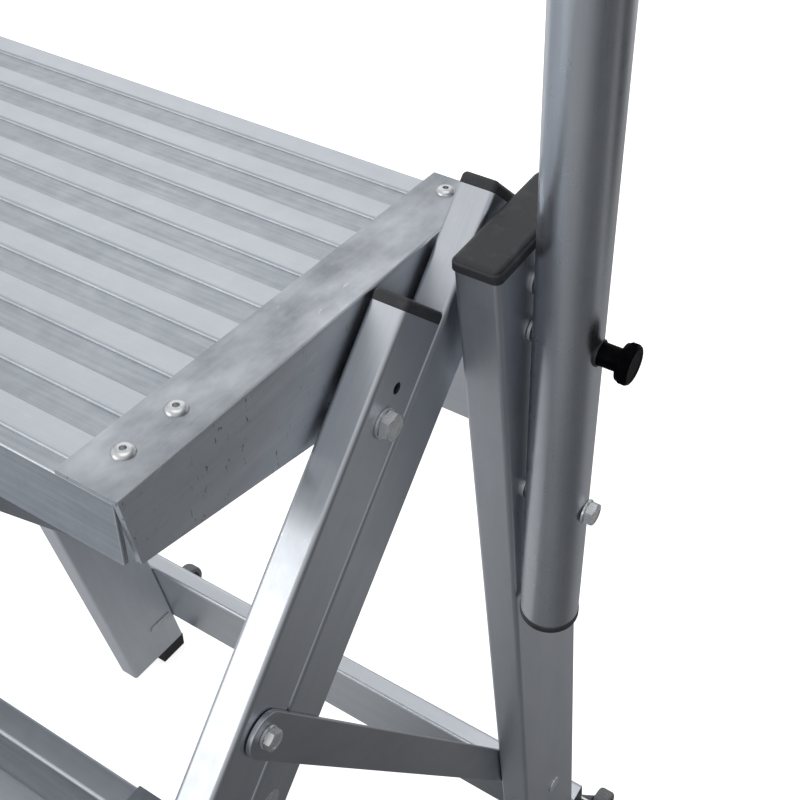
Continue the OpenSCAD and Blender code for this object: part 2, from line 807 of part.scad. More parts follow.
module front_nuts() {
    color("silver") to_origin() {
        front_bolt_spots() nut_x(plate_x - plate_t - face_gap);
        both_sides() at_point(brace_head) nut_x(bar_x, brace_hex_af, brace_bolt_d);
    }
}

// Link bars behind the front legs
module link_bar() {
    tail = link_step * tread_count + link_bar_tail;
    difference() {
        along_bar(deck_pivot) bar_tube(-tail, link_bar_top);
        at_point(deck_pivot) rod_x(pin_d / 2 + pin_fit, 0, far);
        for (step = [1 : tread_count]) at_point(down_bar(deck_pivot, link_step * step)) {
            rod_x(bolt_d / 2 + pin_fit, 0, far);
            countersink(csk_r + pin_fit * 2, cut_over);
        }
    }
}

// Countersunk head's cone, its wide end at the bar's outer face
module countersink(r, over) {
    translate([bar_out - csk_h, 0, 0]) rotate([0, 90, 0])
        cylinder(r1 = r - csk_h, r2 = r + over, h = csk_h + over);
}

module link_bar_right() {
    color("lightsteelblue") to_origin() link_bar();
}

module link_bar_left() {
    color("lightsteelblue") to_origin() left_side() link_bar();
}

module link_bar_caps() {
    tail = link_step * tread_count + link_bar_tail;
    color("dimgray") to_origin() both_sides() along_bar(deck_pivot) {
        bar_cap(link_bar_top);
        translate([0, 0, -tail]) mirror([0, 0, 1]) bar_cap(0);
    }
}

// Treads: each has a plank, two brackets, rivets, and screws into the link bars
function tread_z(step) = deck_z - riser * step;
function tread_y(step) = tread_pivot(step)[0];

module tread_plank(step) {
    color("lightsteelblue") to_origin() difference() {
        plank(tread_y(step) - tread_nose, tread_y(step) - tread_nose + tread_depth, tread_z(step));
        rivet_holes([for (y = tread_rivet_y) tread_y(step) + y], tread_z(step));
    }
}

module tread_brackets(step) {
    y = tread_y(step);
    top = tread_z(step);
    flat = 18;
    nose_drop = front_wall_h + 1;
    color("gainsboro") to_origin() both_sides()
        end_plate([[y - tread_nose - 1, top], [y - tread_nose + 4, top - nose_drop],
                   [y - flat, top - bracket_low], [y + flat, top - bracket_low],
                   [y + bracket_rear, top - pivot_drop - flat], [y + bracket_rear, top]],
                  y - tread_nose - 1, y - tread_nose + tread_depth, top,
                  [tread_pivot(step), tread_pivot(step) + [pivot_dy, pivot_dz]],
                  [for (spot = tread_rivet_y) y + spot]);
}

module tread_rivets(step) {
    color("silver") to_origin()
        rivet_spots([for (y = tread_rivet_y) tread_y(step) + y], tread_z(step))
            dome_rivet(rivet_d / 2, rivet_h, rivet_shank_r, plank_low);
}

module link_screws(step) {
    color("silver") to_origin() both_sides()
        at_point(down_bar(deck_pivot, link_step * step)) {
            rod_x(bolt_d / 2, plate_x - plate_t - nut_h - 1, bar_out - csk_h / 2);
            countersink(csk_r, 0);
        }
}

module link_nuts(step) {
    color("silver") to_origin() both_sides()
        at_point(down_bar(deck_pivot, link_step * step)) nut_x(plate_x - plate_t);
}

// Braces between the front and the rear legs
module brace() {
    at_point(brace_foot) rotate([brace_angle, 0, 0]) difference() {
        slab_x(brace_x, brace_out) {
            translate([0, -brace_w / 2]) square([brace_len, brace_w]);
            for (end = [0, brace_len]) translate([end, 0]) circle(brace_w / 2);
        }
        rod_x(bolt_d / 2 + pin_fit, 0, far);
        translate([brace_x - 0.01, 0, 0]) rotate([0, 90, 0])
            cylinder(r1 = bolt_d / 2 + brace_t / 2 + 0.11, r2 = bolt_d / 2, h = brace_t / 2 + 0.11);
        translate([0, brace_len, 0]) rod_x(brace_bolt_d / 2 + pin_fit, 0, far);
    }
}

module brace_right() {
    color("gray") to_origin() brace();
}

module brace_left() {
    color("gray") to_origin() left_side() brace();
}

module brace_bolts() {
    color("silver") to_origin() both_sides() at_point(brace_head) {
        hex_bolt_x(brace_x, brace_out + washer_t, brace_hex_af, brace_bolt_d);
        ring_x(brace_hex_af * 0.62, brace_bolt_d / 2 - 0.5, brace_out, brace_out + washer_t);
    }
}

// Handrail: one bent tube across both sides
module rail_run(r, extra) {
    straight = rail_high - rail_bend;
    along_rail() {
        both_sides() {
            translate([rail_x, 0, -rail_tail - extra]) cylinder(r = r, h = straight + rail_tail
                                                                + extra);
            translate([rail_x - rail_bend, 0, straight]) rotate([90, 0, 0])
                rotate_extrude(angle = 90) translate([rail_bend, 0]) circle(r);
        }
        translate([0, 0, rail_high]) rod_x(r, rail_bend - rail_x, rail_x - rail_bend);
    }
}

module handrail() {
    color("lightsteelblue") to_origin() difference() {
        rail_run(rail_d / 2, 0);
        rail_run(rail_d / 2 - rail_wall, cut_over);
        both_sides() {
            at_point(rail_pivot) rod_x(bolt_d / 2 + pin_fit, 0, far);
            at_point(plunger_at) rod_x(plunger_pin_d / 2 + pin_fit, 0, rail_x);
            at_point(plunger_at) rod_x(neck_hole_r, rail_x, far);
        }
    }
}

module handrail_end_caps() {
    color("dimgray") to_origin() both_sides() along_rail() translate([rail_x, 0, -rail_tail]) {
        translate([0, 0, -rail_cap_t]) cylinder(r = rail_d / 2 + rail_cap_over, h = rail_cap_t);
        translate([0, 0, -cut_over])
            cylinder(r = rail_d / 2 - rail_wall - plug_fit, h = plug_deep + cut_over);
    }
}

module rail_lock_spacers() {
    color("silver") to_origin() both_sides() at_point(plunger_at)
        ring_x(rail_spacer_r, plunger_pin_d / 2 + pin_fit, leg_out + 0.3, rail_in);
}

module plunger_bushes() {
    color("silver") to_origin() both_sides() at_point(plunger_at)
        ring_x(bush_r, plunger_pin_d / 2 + pin_fit, bush_x, bush_x + bush_l);
}

// Locking plunger, drawn pulled out and parked
module plunger() {
    neck_x = bush_x + bush_l + plunger_travel + 1;
    collar_x = rail_out + neck_out;
    head_x = collar_x + collar_t;
    bevel = 0.8;
    at_point(plunger_at) {
        rod_x(plunger_pin_d / 2, leg_out + 0.5, neck_x + cut_over);
        rod_x(neck_d / 2, neck_x, collar_x);
        rod_x(collar_d / 2, collar_x - 0.5, head_x + 0.5);
        translate([head_x, 0, 0]) rotate([0, 90, 0]) {
            cylinder(d1 = knob_d - 2 * bevel, d2 = knob_d, h = bevel);
            translate([0, 0, bevel]) cylinder(d = knob_d, h = knob_t - 2 * bevel);
            translate([0, 0, knob_t - bevel])
                cylinder(d1 = knob_d, d2 = knob_d - 2 * bevel, h = bevel);
        }
    }
}

module plunger_right() {
    color("black") to_origin() plunger();
}

module plunger_left() {
    color("black") to_origin() left_side() plunger();
}

module wheel() {
    rim = 2;
    at_point([wheel_y, wheel_z]) difference() {
        rod_x(wheel_r, wheel_x - wheel_w / 2, wheel_x + wheel_w / 2);
        rod_x(axle_d / 2 + pin_fit, 0, far);
        for (x_from = [wheel_x - wheel_w / 2 - cut_over, wheel_x + wheel_w / 2 - rim])
            ring_x(wheel_r * 0.72, wheel_r * 0.36, x_from, x_from + rim + cut_over);
    }
}

module wheel_right() {
    color("gray") to_origin() wheel();
}

module wheel_left() {
    color("gray") to_origin() left_side() wheel();
}

rear_leg_right();
rear_leg_left();
rear_leg_caps();
rear_feet();
foot_plates();
upper_cross_tube();
lower_cross_tube();
cross_tube_plugs();
cross_tube_rivets();
wheel_brackets();
wheel_bracket_rivets();
wheel_axles();
deck_pivot_pins();
pivot_collars();
rail_bolts();
rail_washers();
rail_bolt_nuts();
rail_pivot_spacers();
brace_rivets();
deck_plank();
deck_end_plate_right();
deck_end_plate_left();
deck_rivets();
front_leg_right();
front_leg_left();
front_leg_caps();
front_feet();
front_bolts();
front_washers();
front_nuts();
link_bar_right();
link_bar_left();
link_bar_caps();
tread_plank(1);  // tread_plank_high
tread_brackets(1);  // tread_brackets_high
tread_rivets(1);  // tread_rivets_high
link_screws(1);  // link_screws_high
link_nuts(1);  // link_nuts_high
tread_plank(2);  // tread_plank_mid
tread_brackets(2);  // tread_brackets_mid
tread_rivets(2);  // tread_rivets_mid
link_screws(2);  // link_screws_mid
link_nuts(2);  // link_nuts_mid
tread_plank(3);  // tread_plank_low
tread_brackets(3);  // tread_brackets_low
tread_rivets(3);  // tread_rivets_low
link_screws(3);  // link_screws_low
link_nuts(3);  // link_nuts_low
brace_right();
brace_left();
brace_bolts();
handrail();
handrail_end_caps();
rail_lock_spacers();
plunger_bushes();
plunger_right();
plunger_left();
wheel_right();
wheel_left();
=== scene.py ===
"""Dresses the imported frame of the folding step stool: shapes, finishes, studio and camera."""

import logging
import math
from dataclasses import dataclass, field, replace
from enum import Enum
from typing import Any, Iterable, Sequence

import bmesh
import bpy
from mathutils import Matrix, Vector


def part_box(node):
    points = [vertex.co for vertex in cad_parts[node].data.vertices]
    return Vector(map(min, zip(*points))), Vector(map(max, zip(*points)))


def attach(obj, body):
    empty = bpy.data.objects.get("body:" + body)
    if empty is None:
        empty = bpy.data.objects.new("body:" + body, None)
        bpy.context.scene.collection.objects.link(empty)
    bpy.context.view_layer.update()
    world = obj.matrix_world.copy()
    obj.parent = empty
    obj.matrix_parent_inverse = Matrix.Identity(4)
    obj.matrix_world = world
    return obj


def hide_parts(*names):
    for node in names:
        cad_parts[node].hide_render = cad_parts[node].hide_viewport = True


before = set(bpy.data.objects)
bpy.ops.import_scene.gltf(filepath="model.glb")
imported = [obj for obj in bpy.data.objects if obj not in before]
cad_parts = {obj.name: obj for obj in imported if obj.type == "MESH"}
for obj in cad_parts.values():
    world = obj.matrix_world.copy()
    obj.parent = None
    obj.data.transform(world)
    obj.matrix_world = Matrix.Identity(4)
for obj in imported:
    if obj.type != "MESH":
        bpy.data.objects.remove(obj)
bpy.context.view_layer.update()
LOG = logging.getLogger("step_stool")

MM = 0.001
SEAM = 1e-7
WELD = 2e-6
TOUCH = 1e-5
FLAT_ANGLE = math.radians(0.3)
SOFT_ANGLE = math.radians(32)
SMOOTH_ANGLE = math.radians(40)
HEX_STEPS = 36
CORNER_STEPS = 6
SIDES = (1, -1)

# The stool's own measures: metres, and degrees from upright or from level.
# ROW_Y is the place of the rear pivots, and other places are measured from it.
ROW_Y = 0.2646278
DECK_TOP = 0.88
LEG_LEAN = 11.8
RAIL_LEAN = 5.8
STEP_SLOPE = 49.3
BRACE_SLOPE = 36.4


# Nodes and arithmetic

@dataclass
class Wire:
    """A socket that takes part in arithmetic and adds Math nodes to its sheet."""

    sheet: "Sheet"
    socket: bpy.types.NodeSocket

    def math(self, operation: str, *values: Any) -> "Wire":
        """Adds one Math node.

        Args:
            operation: The Math node's operation.
            values: Its inputs in order, numbers or wires.

        Returns:
            The node's result.
        """
        made = self.sheet.node("ShaderNodeMath", {"operation": operation}, dict(enumerate(values)))
        return Wire(self.sheet, made.outputs[0])

    def __add__(self, other: Any) -> "Wire":
        """Self plus other."""
        return self.math("ADD", self, other)

    def __radd__(self, other: Any) -> "Wire":
        """Other plus self."""
        return self.math("ADD", other, self)

    def __sub__(self, other: Any) -> "Wire":
        """Self minus other."""
        return self.math("SUBTRACT", self, other)

    def __rsub__(self, other: Any) -> "Wire":
        """Other minus self."""
        return self.math("SUBTRACT", other, self)

    def __mul__(self, other: Any) -> "Wire":
        """Self times other."""
        return self.math("MULTIPLY", self, other)

    def __rmul__(self, other: Any) -> "Wire":
        """Other times self."""
        return self.math("MULTIPLY", other, self)

    def __truediv__(self, other: Any) -> "Wire":
        """Self over other."""
        return self.math("DIVIDE", self, other)

    def between(self, low: float, high: float) -> "Wire":
        """Smooth step.

        Args:
            low: Where the result is 0.
            high: Where the result is 1.

        Returns:
            A wire from 0 to 1.
        """
        made = self.sheet.node(
            "ShaderNodeMapRange", {"interpolation_type": "SMOOTHSTEP"},
            {"Value": self, "From Min": low, "From Max": high})
        return Wire(self.sheet, made.outputs[0])


class Sheet:
    """A node tree with one method that makes its nodes."""

    def __init__(self, tree: bpy.types.NodeTree) -> None:
        """Keeps the tree and empties it."""
        self.tree = tree
        tree.nodes.clear()

    @staticmethod
    def _socket(bank: Any, key: str | int) -> bpy.types.NodeSocket:
        """Finds a socket.

        Args:
            bank: A node's inputs or outputs.
            key: The socket's place, identifier or name.

        Returns:
            The socket.
        """
        if isinstance(key, str):
            for socket in bank:
                if socket.identifier == key:
                    return socket
        return bank[key]

    def node(self, kind: str, settings: dict[str, Any] | None = None,
             sockets: dict[str | int, Any] | None = None,
             stops: Sequence[tuple[float, tuple[float, ...]]] = ()) -> bpy.types.Node:
        """Makes one node.

        Args:
            kind: The node's type.
            settings: Properties, set before anything else.
            sockets: Values, wires or sockets for its inputs.
            stops: A colour ramp's stops as place and colour.

        Returns:
            The node.
        """
        made = self.tree.nodes.new(kind)
        for key, value in (settings or {}).items():
            setattr(made, key, value)
        if stops:
            ramp = made.color_ramp.elements
            while len(ramp) < len(stops):
                ramp.new(1.0)
            for element, (place, colour) in zip(ramp, stops):
                element.position = place
                element.color = colour
        for key, value in (sockets or {}).items():
            self.feed(self._socket(made.inputs, key), value)
        return made

    def feed(self, target: bpy.types.NodeSocket, value: Any) -> None:
        """Feeds an input.

        Args:
            target: The input's socket.
            value: A wire, an output's socket or a plain value.
        """
        source = value.socket if isinstance(value, Wire) else value
        if isinstance(source, bpy.types.NodeSocket):
            self.tree.links.new(source, target)
        else:
            target.default_value = source

    def wire(self, node: bpy.types.Node, key: str | int = 0) -> Wire:
        """One of the node's outputs as a wire."""
        return Wire(self, self._socket(node.outputs, key))

    def blend(self, share: Any, first: Any, second: Any) -> Wire:
        """Mixes two colours.

        Args:
            share: 0 for the first, 1 for the second.
            first: A colour or wire.
            second: A colour or wire.

        Returns:
            The mixed colour.
        """
        made = self.node("ShaderNodeMix", {"data_type": "RGBA", "clamp_factor": True},
                         {"Factor_Float": share, "A_Color": first, "B_Color": second})
        return self.wire(made, "Result_Color")


class Recipe(Sheet):
    """A material's node tree around one Principled shader."""

    def __init__(self, name: str) -> None:
        """Makes the material, its shader and its output.

        Args:
            name: The material's name.
        """
        self.material = bpy.data.materials.new(name)
        self.material.use_nodes = True
        super().__init__(self.material.node_tree)
        self.shader = self.node("ShaderNodeBsdfPrincipled")
        self.node("ShaderNodeOutputMaterial", None, {"Surface": self.shader.outputs[0]})
        self.place = self.node("ShaderNodeTexCoord").outputs["Object"]

    def lay(self, turn: tuple[float, float, float], spread: tuple[float, float, float]) -> Wire:
        """Turns the pattern's coordinates and then stretches them.

        Args:
            turn: Euler turn of the pattern, in radians.
            spread: How far the pattern is drawn out along each turned axis.

        Returns:
            The coordinates.
        """
        made = self.node("ShaderNodeMapping", {"vector_type": "TEXTURE"},
                         {"Vector": self.place, "Rotation": turn, "Scale": spread})
        return self.wire(made)

    def noise(self, where: Wire, grain_mm: float, detail: float = 2.0,
              rough: float = 0.5) -> Wire:
        """Noise from 0 to 1.

        Args:
            where: Its coordinates.
            grain_mm: Size of one grain.
            detail: Octaves.
            rough: Share of the finer octaves.

        Returns:
            The noise.
        """
        made = self.node("ShaderNodeTexNoise", None,
                         {"Vector": where, "Scale": 1 / (grain_mm * MM), "Detail": detail,
                          "Roughness": rough})
        return self.wire(made, "Fac")

    def mark(self, name: str) -> Wire:
        """Reads a number that the mesh carries."""
        return self.wire(self.node("ShaderNodeAttribute", {"attribute_name": name}), "Fac")

    def dress(self, colour: Any, rough: Any, bump: Any, bump_mm: float,
              **constants: float) -> bpy.types.Material:
        """Feeds the shader.

        Args:
            colour: Base colour.
            rough: Roughness.
            bump: Height from 0 to 1.
            bump_mm: What a height of 1 stands for.
            constants: Numbers set on the shader's own sockets.

        Returns:
            The material.
        """
        raised = self.node("ShaderNodeBump", None,
                           {"Height": bump, "Distance": bump_mm * MM, "Strength": 1.0})
        feeds = {"Base Color": colour, "Roughness": rough, "Normal": raised.outputs[0]}
        for key, value in feeds.items():
            self.feed(self.shader.inputs[key], value)
        for key, value in constants.items():
            title = key.replace("_", " ").title().replace("Ior", "IOR")
            self.shader.inputs[title].default_value = value
        return self.material


# Finishes

class Run(Enum):
    """The way along which a profile was drawn, as the pattern's turn about X and its long axis."""

    LEG = (LEG_LEAN, 2)
    BAR = (STEP_SLOPE - 90, 2)
    RAIL = (RAIL_LEAN, 2)
    ACROSS = (0.0, 0)
    PLATE = (0.0, 1)
    BRACE = (-BRACE_SLOPE, 1)

    @property
    def turn(self) -> tuple[float, float, float]:
        """The pattern's turn, in radians."""
        return (math.radians(self.value[0]), 0.0, 0.0)

    def spread(self, length: float) -> tuple[float, float, float]:
        """The stretch of the pattern along the run."""
        return tuple(length if axis == self.value[1] else 1.0 for axis in range(3))


Colour = tuple[float, float, float, float]


@dataclass(frozen=True)
class Finish:
    """What every finish has: its name and the record's slot."""

    name: str
    slot: str

    def material(self) -> bpy.types.Material:
        """Makes the material once and then hands out the same one."""
        return bpy.data.materials.get(self.name) or self.mix(Recipe(self.name))

    def mix(self, recipe: Recipe) -> bpy.types.Material:
        """Builds the material on an empty recipe."""
        raise NotImplementedError


@dataclass(frozen=True)
class DrawnAluminium(Finish):
    """Mill-finish aluminium with drawing lines along its run, blotches and light scratches."""

    run: Run = Run.LEG
    pale: Colour = (0.70, 0.73, 0.775, 1.0)
    deep: Colour = (0.55, 0.58, 0.625, 1.0)
    worn: Colour = (0.88, 0.90, 0.93, 1.0)
    # Colour of the darkened grooves: grime with painted shade.
    groove_grime_shade_colour: Colour = (0.24, 0.27, 0.31, 1.0)
    film: Colour = (0.27, 0.29, 0.32, 1.0)
    speck: Colour = (0.09, 0.09, 0.10, 1.0)
    rough: float = 0.36
    lines_mm: float = 1.1
    scratches: float = 0.35
    blotches: float = 0.5
    band_contrast: float = 0.0
    grime: float = 0.0

    def mix(self, recipe: Recipe) -> bpy.types.Material:
        """Builds the material.

        Args:
            recipe: An empty recipe.

        Returns:
            The material.
        """
        along = recipe.lay(self.run.turn, self.run.spread(60.0))
        soft = recipe.lay(self.run.turn, self.run.spread(5.0))
        slant = recipe.lay((self.run.turn[0] + 0.35, 0.2, 0.15), self.run.spread(40.0))
        lines = recipe.noise(along, self.lines_mm, 3.0, 0.6)
        cloud = recipe.noise(soft, 22.0, 4.0, 0.6)
        marks = recipe.noise(slant, 2.4, 2.0, 0.5).between(0.70, 0.76) * \
            recipe.noise(soft, 30.0).between(0.45, 0.62)
        smear = recipe.noise(recipe.lay(self.run.turn, (1.0, 1.0, 1.0)), 9.0, 3.0, 0.6)
        share = (lines - 0.5) * 0.5 + (cloud - 0.5) * self.blotches * 2 + 0.55
        colour = recipe.blend(share, self.deep, self.pale)
        colour = recipe.blend(marks * self.scratches, colour, self.worn)
        # Painted shade with streaky grime in the grooves and down the band sides.
        if self.band_contrast:
            colour = self.groove_grime_and_shade(recipe, colour, smear)
        if self.grime:
            colour = self.walked(recipe, colour, lines)
        # The edge mark brightens worn edges, and on the flange bends it is a painted highlight.
        edge = recipe.mark("edge")
        colour = recipe.blend(edge * 0.6, colour, self.worn)
        rough = self.rough + (lines - 0.5) * 0.10 + (smear - 0.5) * 0.16 - marks * 0.06 \
            - edge * 0.06
        height = lines * 0.6 + cloud * 0.25
        return recipe.dress(colour, rough, height, bump_mm=0.009, metallic=1.0)

    def groove_grime_and_shade(self, recipe: Recipe, colour: Wire, smear: Wire) -> Wire:
        """Darkens the grooves between the grip bands: streaky grime with painted shade.

        Args:
            recipe: The material's recipe.
            colour: The metal's colour.
            smear: Soft noise that thins the grime and painted shade.

        Returns:
            The colour with grime and painted shade in the grooves.
        """
        groove = 1 - recipe.mark("raised")
        streaks = recipe.noise(recipe.lay(self.run.turn, self.run.spread(25.0)), 2.2, 3.0)
        share = groove * self.band_contrast * (0.75 + (smear - 0.5) * 0.5
                                               + (streaks - 0.5) * 1.1)
        return recipe.blend(share, colour, self.groove_grime_shade_colour)

    def walked(self, recipe: Recipe, colour: Wire, lines: Wire) -> Wire:
        """Lays a grey film on the faces that shoes rub, and dark specks on the others.

        Args:
            recipe: The material's recipe.
            colour: The metal's colour.
            lines: The drawing lines.

        Returns:
            The colour with film and specks.
        """
        patch = recipe.noise(recipe.lay(self.run.turn, self.run.spread(1.8)), 24.0, 4.0, 0.6)
        share = recipe.mark("trodden") * self.grime * (
            0.5 + (patch - 0.5) * 2.4 + (lines - 0.5) * 0.3)
        colour = recipe.blend(share, colour, self.film)
        upright = recipe.lay((0.0, 0.0, 0.0), (1.0, 0.8, 2.2))
        specks = recipe.noise(upright, 2.6, 3.0, 0.6).between(0.62, 0.72) * (
            1 - recipe.mark("trodden")) * recipe.noise(upright, 30.0).between(0.42, 0.6)
        return recipe.blend(specks * 0.75, colour, self.speck)


@dataclass(frozen=True)
class PlatedSteel(Finish):
    """Bright zinc-plated steel with a faint grain and cloudy tint."""

    pale: Colour = (0.78, 0.79, 0.80, 1.0)
    deep: Colour = (0.66, 0.68, 0.70, 1.0)
    worn: Colour = (0.9, 0.91, 0.92, 1.0)
    rough: float = 0.2
    grain_mm: float = 0.5
    metal: float = 1.0

    def mix(self, recipe: Recipe) -> bpy.types.Material:
        """Builds the material.

        Args:
            recipe: An empty recipe.

        Returns:
            The material.
        """
        where = recipe.lay((0.0, 0.0, 0.0), (1.0, 1.0, 1.0))
        grain = recipe.noise(where, self.grain_mm, 3.0)
        cloud = recipe.noise(where, 4.0, 3.0, 0.6)
        colour = recipe.blend(cloud.between(0.3, 0.7), self.deep, self.pale)
        colour = recipe.blend(recipe.mark("edge") * 0.5, colour, self.worn)
        rough = self.rough + (grain - 0.5) * 0.08 + (cloud - 0.5) * 0.08
        return recipe.dress(colour, rough, grain, bump_mm=0.002, metallic=self.metal)


@dataclass(frozen=True)
class MouldedPlastic(Finish):
    """Dark moulded plastic with a fine spark-eroded grain and paler rubbed edges."""

    base: Colour = (0.022, 0.023, 0.026, 1.0)
    rubbed: Colour = (0.10, 0.105, 0.115, 1.0)
    rough: float = 0.5
    grain_mm: float = 0.45
    grain_deep_mm: float = 0.05
    specular: float = 0.5

    def mix(self, recipe: Recipe) -> bpy.types.Material:
        """Builds the material.

        Args:
            recipe: An empty recipe.

        Returns:
            The material.
        """
        where = recipe.lay((0.0, 0.0, 0.0), (1.0, 1.0, 1.0))
        grain = recipe.noise(where, self.grain_mm, 4.0, 0.65)
        cloud = recipe.noise(where, 9.0, 4.0, 0.6)
        dust = cloud.between(0.5, 0.75) * 0.35 + recipe.mark("edge") * 0.5
        colour = recipe.blend(dust, self.base, self.rubbed)
        rough = self.rough + (grain - 0.5) * 0.2 + (cloud - 0.5) * 0.2
        return recipe.dress(colour, rough, grain, self.grain_deep_mm,
                            specular_ior_level=self.specular)


ALU_LEG = DrawnAluminium("Leg aluminium", "leg_aluminium", Run.LEG, rough=0.45)
ALU_BAR = DrawnAluminium("Bar aluminium", "bar_aluminium", Run.BAR, rough=0.33)
ALU_CROSS = DrawnAluminium("Cross tube aluminium", "leg_aluminium", Run.ACROSS)
ALU_RAIL = DrawnAluminium("Rail aluminium", "rail_aluminium", Run.RAIL, rough=0.30,
                          lines_mm=0.7, scratches=0.2)
# band_contrast sets how dark the grooves are painted: grime with painted shade.
ALU_PLANK = DrawnAluminium("Plank aluminium", "plank_aluminium", Run.ACROSS, rough=0.42,
                           scratches=0.15, band_contrast=0.55, blotches=0.3)
ALU_PLATE = DrawnAluminium("Plate aluminium", "plate_aluminium", Run.PLATE, rough=0.40,
                           deep=(0.48, 0.51, 0.55, 1.0), scratches=0.8, blotches=0.9,
                           grime=0.95)
ALU_RIVET = PlatedSteel("Rivet aluminium", "rivet_aluminium", rough=0.3)
STEEL_BRACKET = PlatedSteel("Bracket steel", "bracket_steel", rough=0.38, grain_mm=1.2)
STEEL_BRACE = DrawnAluminium("Brace steel", "brace_steel", Run.BRACE,
                             pale=(0.54, 0.56, 0.60, 1.0), deep=(0.38, 0.40, 0.44, 1.0),
                             scratches=0.2,
                             worn=(0.66, 0.68, 0.71, 1.0), rough=0.38)
STEEL_FASTENER = PlatedSteel("Fastener steel", "fastener_steel", metal=0.75, rough=0.26)
STEEL_DULL = PlatedSteel("Dull fastener steel", "fastener_steel", metal=0.35, rough=0.45)
BUSH = MouldedPlastic("Bush plastic", "bush_plastic", rough=0.4)
CAP = MouldedPlastic("Cap plastic", "cap_plastic", base=(0.030, 0.032, 0.037, 1.0))
RUBBER = MouldedPlastic("Foot rubber", "foot_rubber", base=(0.034, 0.034, 0.037, 1.0),
                        rubbed=(0.09, 0.09, 0.095, 1.0), rough=0.75, grain_mm=0.8,
                        grain_deep_mm=0.1)
KNOB = MouldedPlastic("Plunger black", "plunger_black", base=(0.002, 0.002, 0.003, 1.0),
                      rubbed=(0.012, 0.012, 0.013, 1.0), rough=0.36, grain_deep_mm=0.01,
                      specular=0.02)
TYRE = MouldedPlastic("Wheel rubber", "wheel_rubber", base=(0.20, 0.205, 0.215, 1.0),
                      rubbed=(0.32, 0.325, 0.335, 1.0), rough=0.6)
HUB = MouldedPlastic("Wheel hub plastic", "wheel_rubber", base=(0.05, 0.052, 0.058, 1.0),
                     rough=0.45)


# Shapes

@dataclass
class Shell:
    """Closed shapes while they are put together, as points and faces."""

    points: list[Vector] = field(default_factory=list)
    faces: list[tuple[int, ...]] = field(default_factory=list)

    def rings(self, rings: Sequence[Sequence[Vector]], loop: bool = False) -> "Shell":
        """Adds a skin over rings of equal length.

        Args:
            rings: The rings in order.
            loop: Joins the last ring to the first in place of end faces.

        Returns:
            The shell itself.
        """
        start, size = len(self.points), len(rings[0])
        for ring in rings:
            self.points.extend(Vector(point) for point in ring)
        pairs = len(rings) if loop else len(rings) - 1
        for low in range(pairs):
            high = (low + 1) % len(rings)
            for at in range(size):
                after = (at + 1) % size
                self.faces.append((start + low * size + at, start + low * size + after,
                                   start + high * size + after, start + high * size + at))
        if not loop:
            self.faces.append(tuple(range(start + size - 1, start - 1, -1)))
            last = start + (len(rings) - 1) * size
            self.faces.append(tuple(range(last, last + size)))
        return self

    def lathe(self, profile: Sequence[tuple[float, float]], steps: int = 40,
              loop: bool = False) -> "Shell":
        """Adds a turned shape about Z.

        Args:
            profile: Pairs of height and radius, in mm.
            steps: Faces round the shape.
            loop: Joins the profile's end to its start, as for a ring.

        Returns:
            The shell itself.
        """
        turns = [2 * math.pi * step / steps for step in range(steps)]
        return self.rings([[Vector((r * math.cos(t), r * math.sin(t), z)) * MM for t in turns]
                           for z, r in profile], loop)

    def slab(self, outline: Sequence[tuple[float, float]], low: float, high: float) -> "Shell":
        """Adds an outline in y and z, drawn out along x, all in metres."""
        return self.rings([[Vector((x, y, z)) for y, z in outline] for x in (low, high)])

    def add(self, other: "Shell", place: Matrix) -> None:
        """Adds another shell at a place.

        Args:
            other: The shell to add.
            place: Its matrix.
        """
        start = len(self.points)
        self.points.extend(place @ point for point in other.points)
        self.faces.extend(tuple(start + at for at in face) for face in other.faces)

    def mesh(self, name: str) -> bpy.types.Mesh:
        """Makes a mesh with outward normals.

        Args:
            name: The mesh's name.

        Returns:
            The mesh.
        """
        made = bpy.data.meshes.new(name)
        made.from_pydata([tuple(point) for point in self.points], [], self.faces)
        shape = bmesh.new()
        shape.from_mesh(made)
        bmesh.ops.remove_doubles(shape, verts=shape.verts, dist=SEAM)
        bmesh.ops.recalc_face_normals(shape, faces=shape.faces)
        return closed(shape, made)


def opened(mesh: bpy.types.Mesh, weld: float = WELD) -> bmesh.types.BMesh:
    """Opens a mesh for changes.

    Args:
        mesh: The mesh.
        weld: Points closer than this become one.

    Returns:
        The opened mesh, its points welded and its flat neighbours merged.
    """
    shape = bmesh.new()
    shape.from_mesh(mesh)
    bmesh.ops.remove_doubles(shape, verts=shape.verts, dist=weld)
    bmesh.ops.dissolve_limit(shape, angle_limit=FLAT_ANGLE, verts=shape.verts,
                             edges=shape.edges)
    return shape


def rounded(shape: bmesh.types.BMesh, edges: list[bmesh.types.BMEdge], width_mm: float,
            segments: int, clamp: bool) -> list[bmesh.types.BMFace]:
    """Rounds edges.

    Args:
        shape: The opened mesh.
        edges: Its edges to round.
        width_mm: Width of the rounding.
        segments: Faces across the rounding.
        clamp: Narrows the rounding where it would overlap.

    Returns:
        The new faces.
    """
    return bmesh.ops.bevel(shape, geom=edges, offset=width_mm * MM, offset_type="OFFSET",
                           segments=segments, profile=0.5, affect="EDGES",
                           clamp_overlap=clamp)["faces"]


def closed(shape: bmesh.types.BMesh, mesh: bpy.types.Mesh) -> bpy.types.Mesh:
    """Writes an opened mesh back.

    Args:
        shape: The opened mesh, freed here.
        mesh: The mesh that takes it.

    Returns:
        The same mesh.
    """
    shape.to_mesh(mesh)
    shape.free()
    return mesh


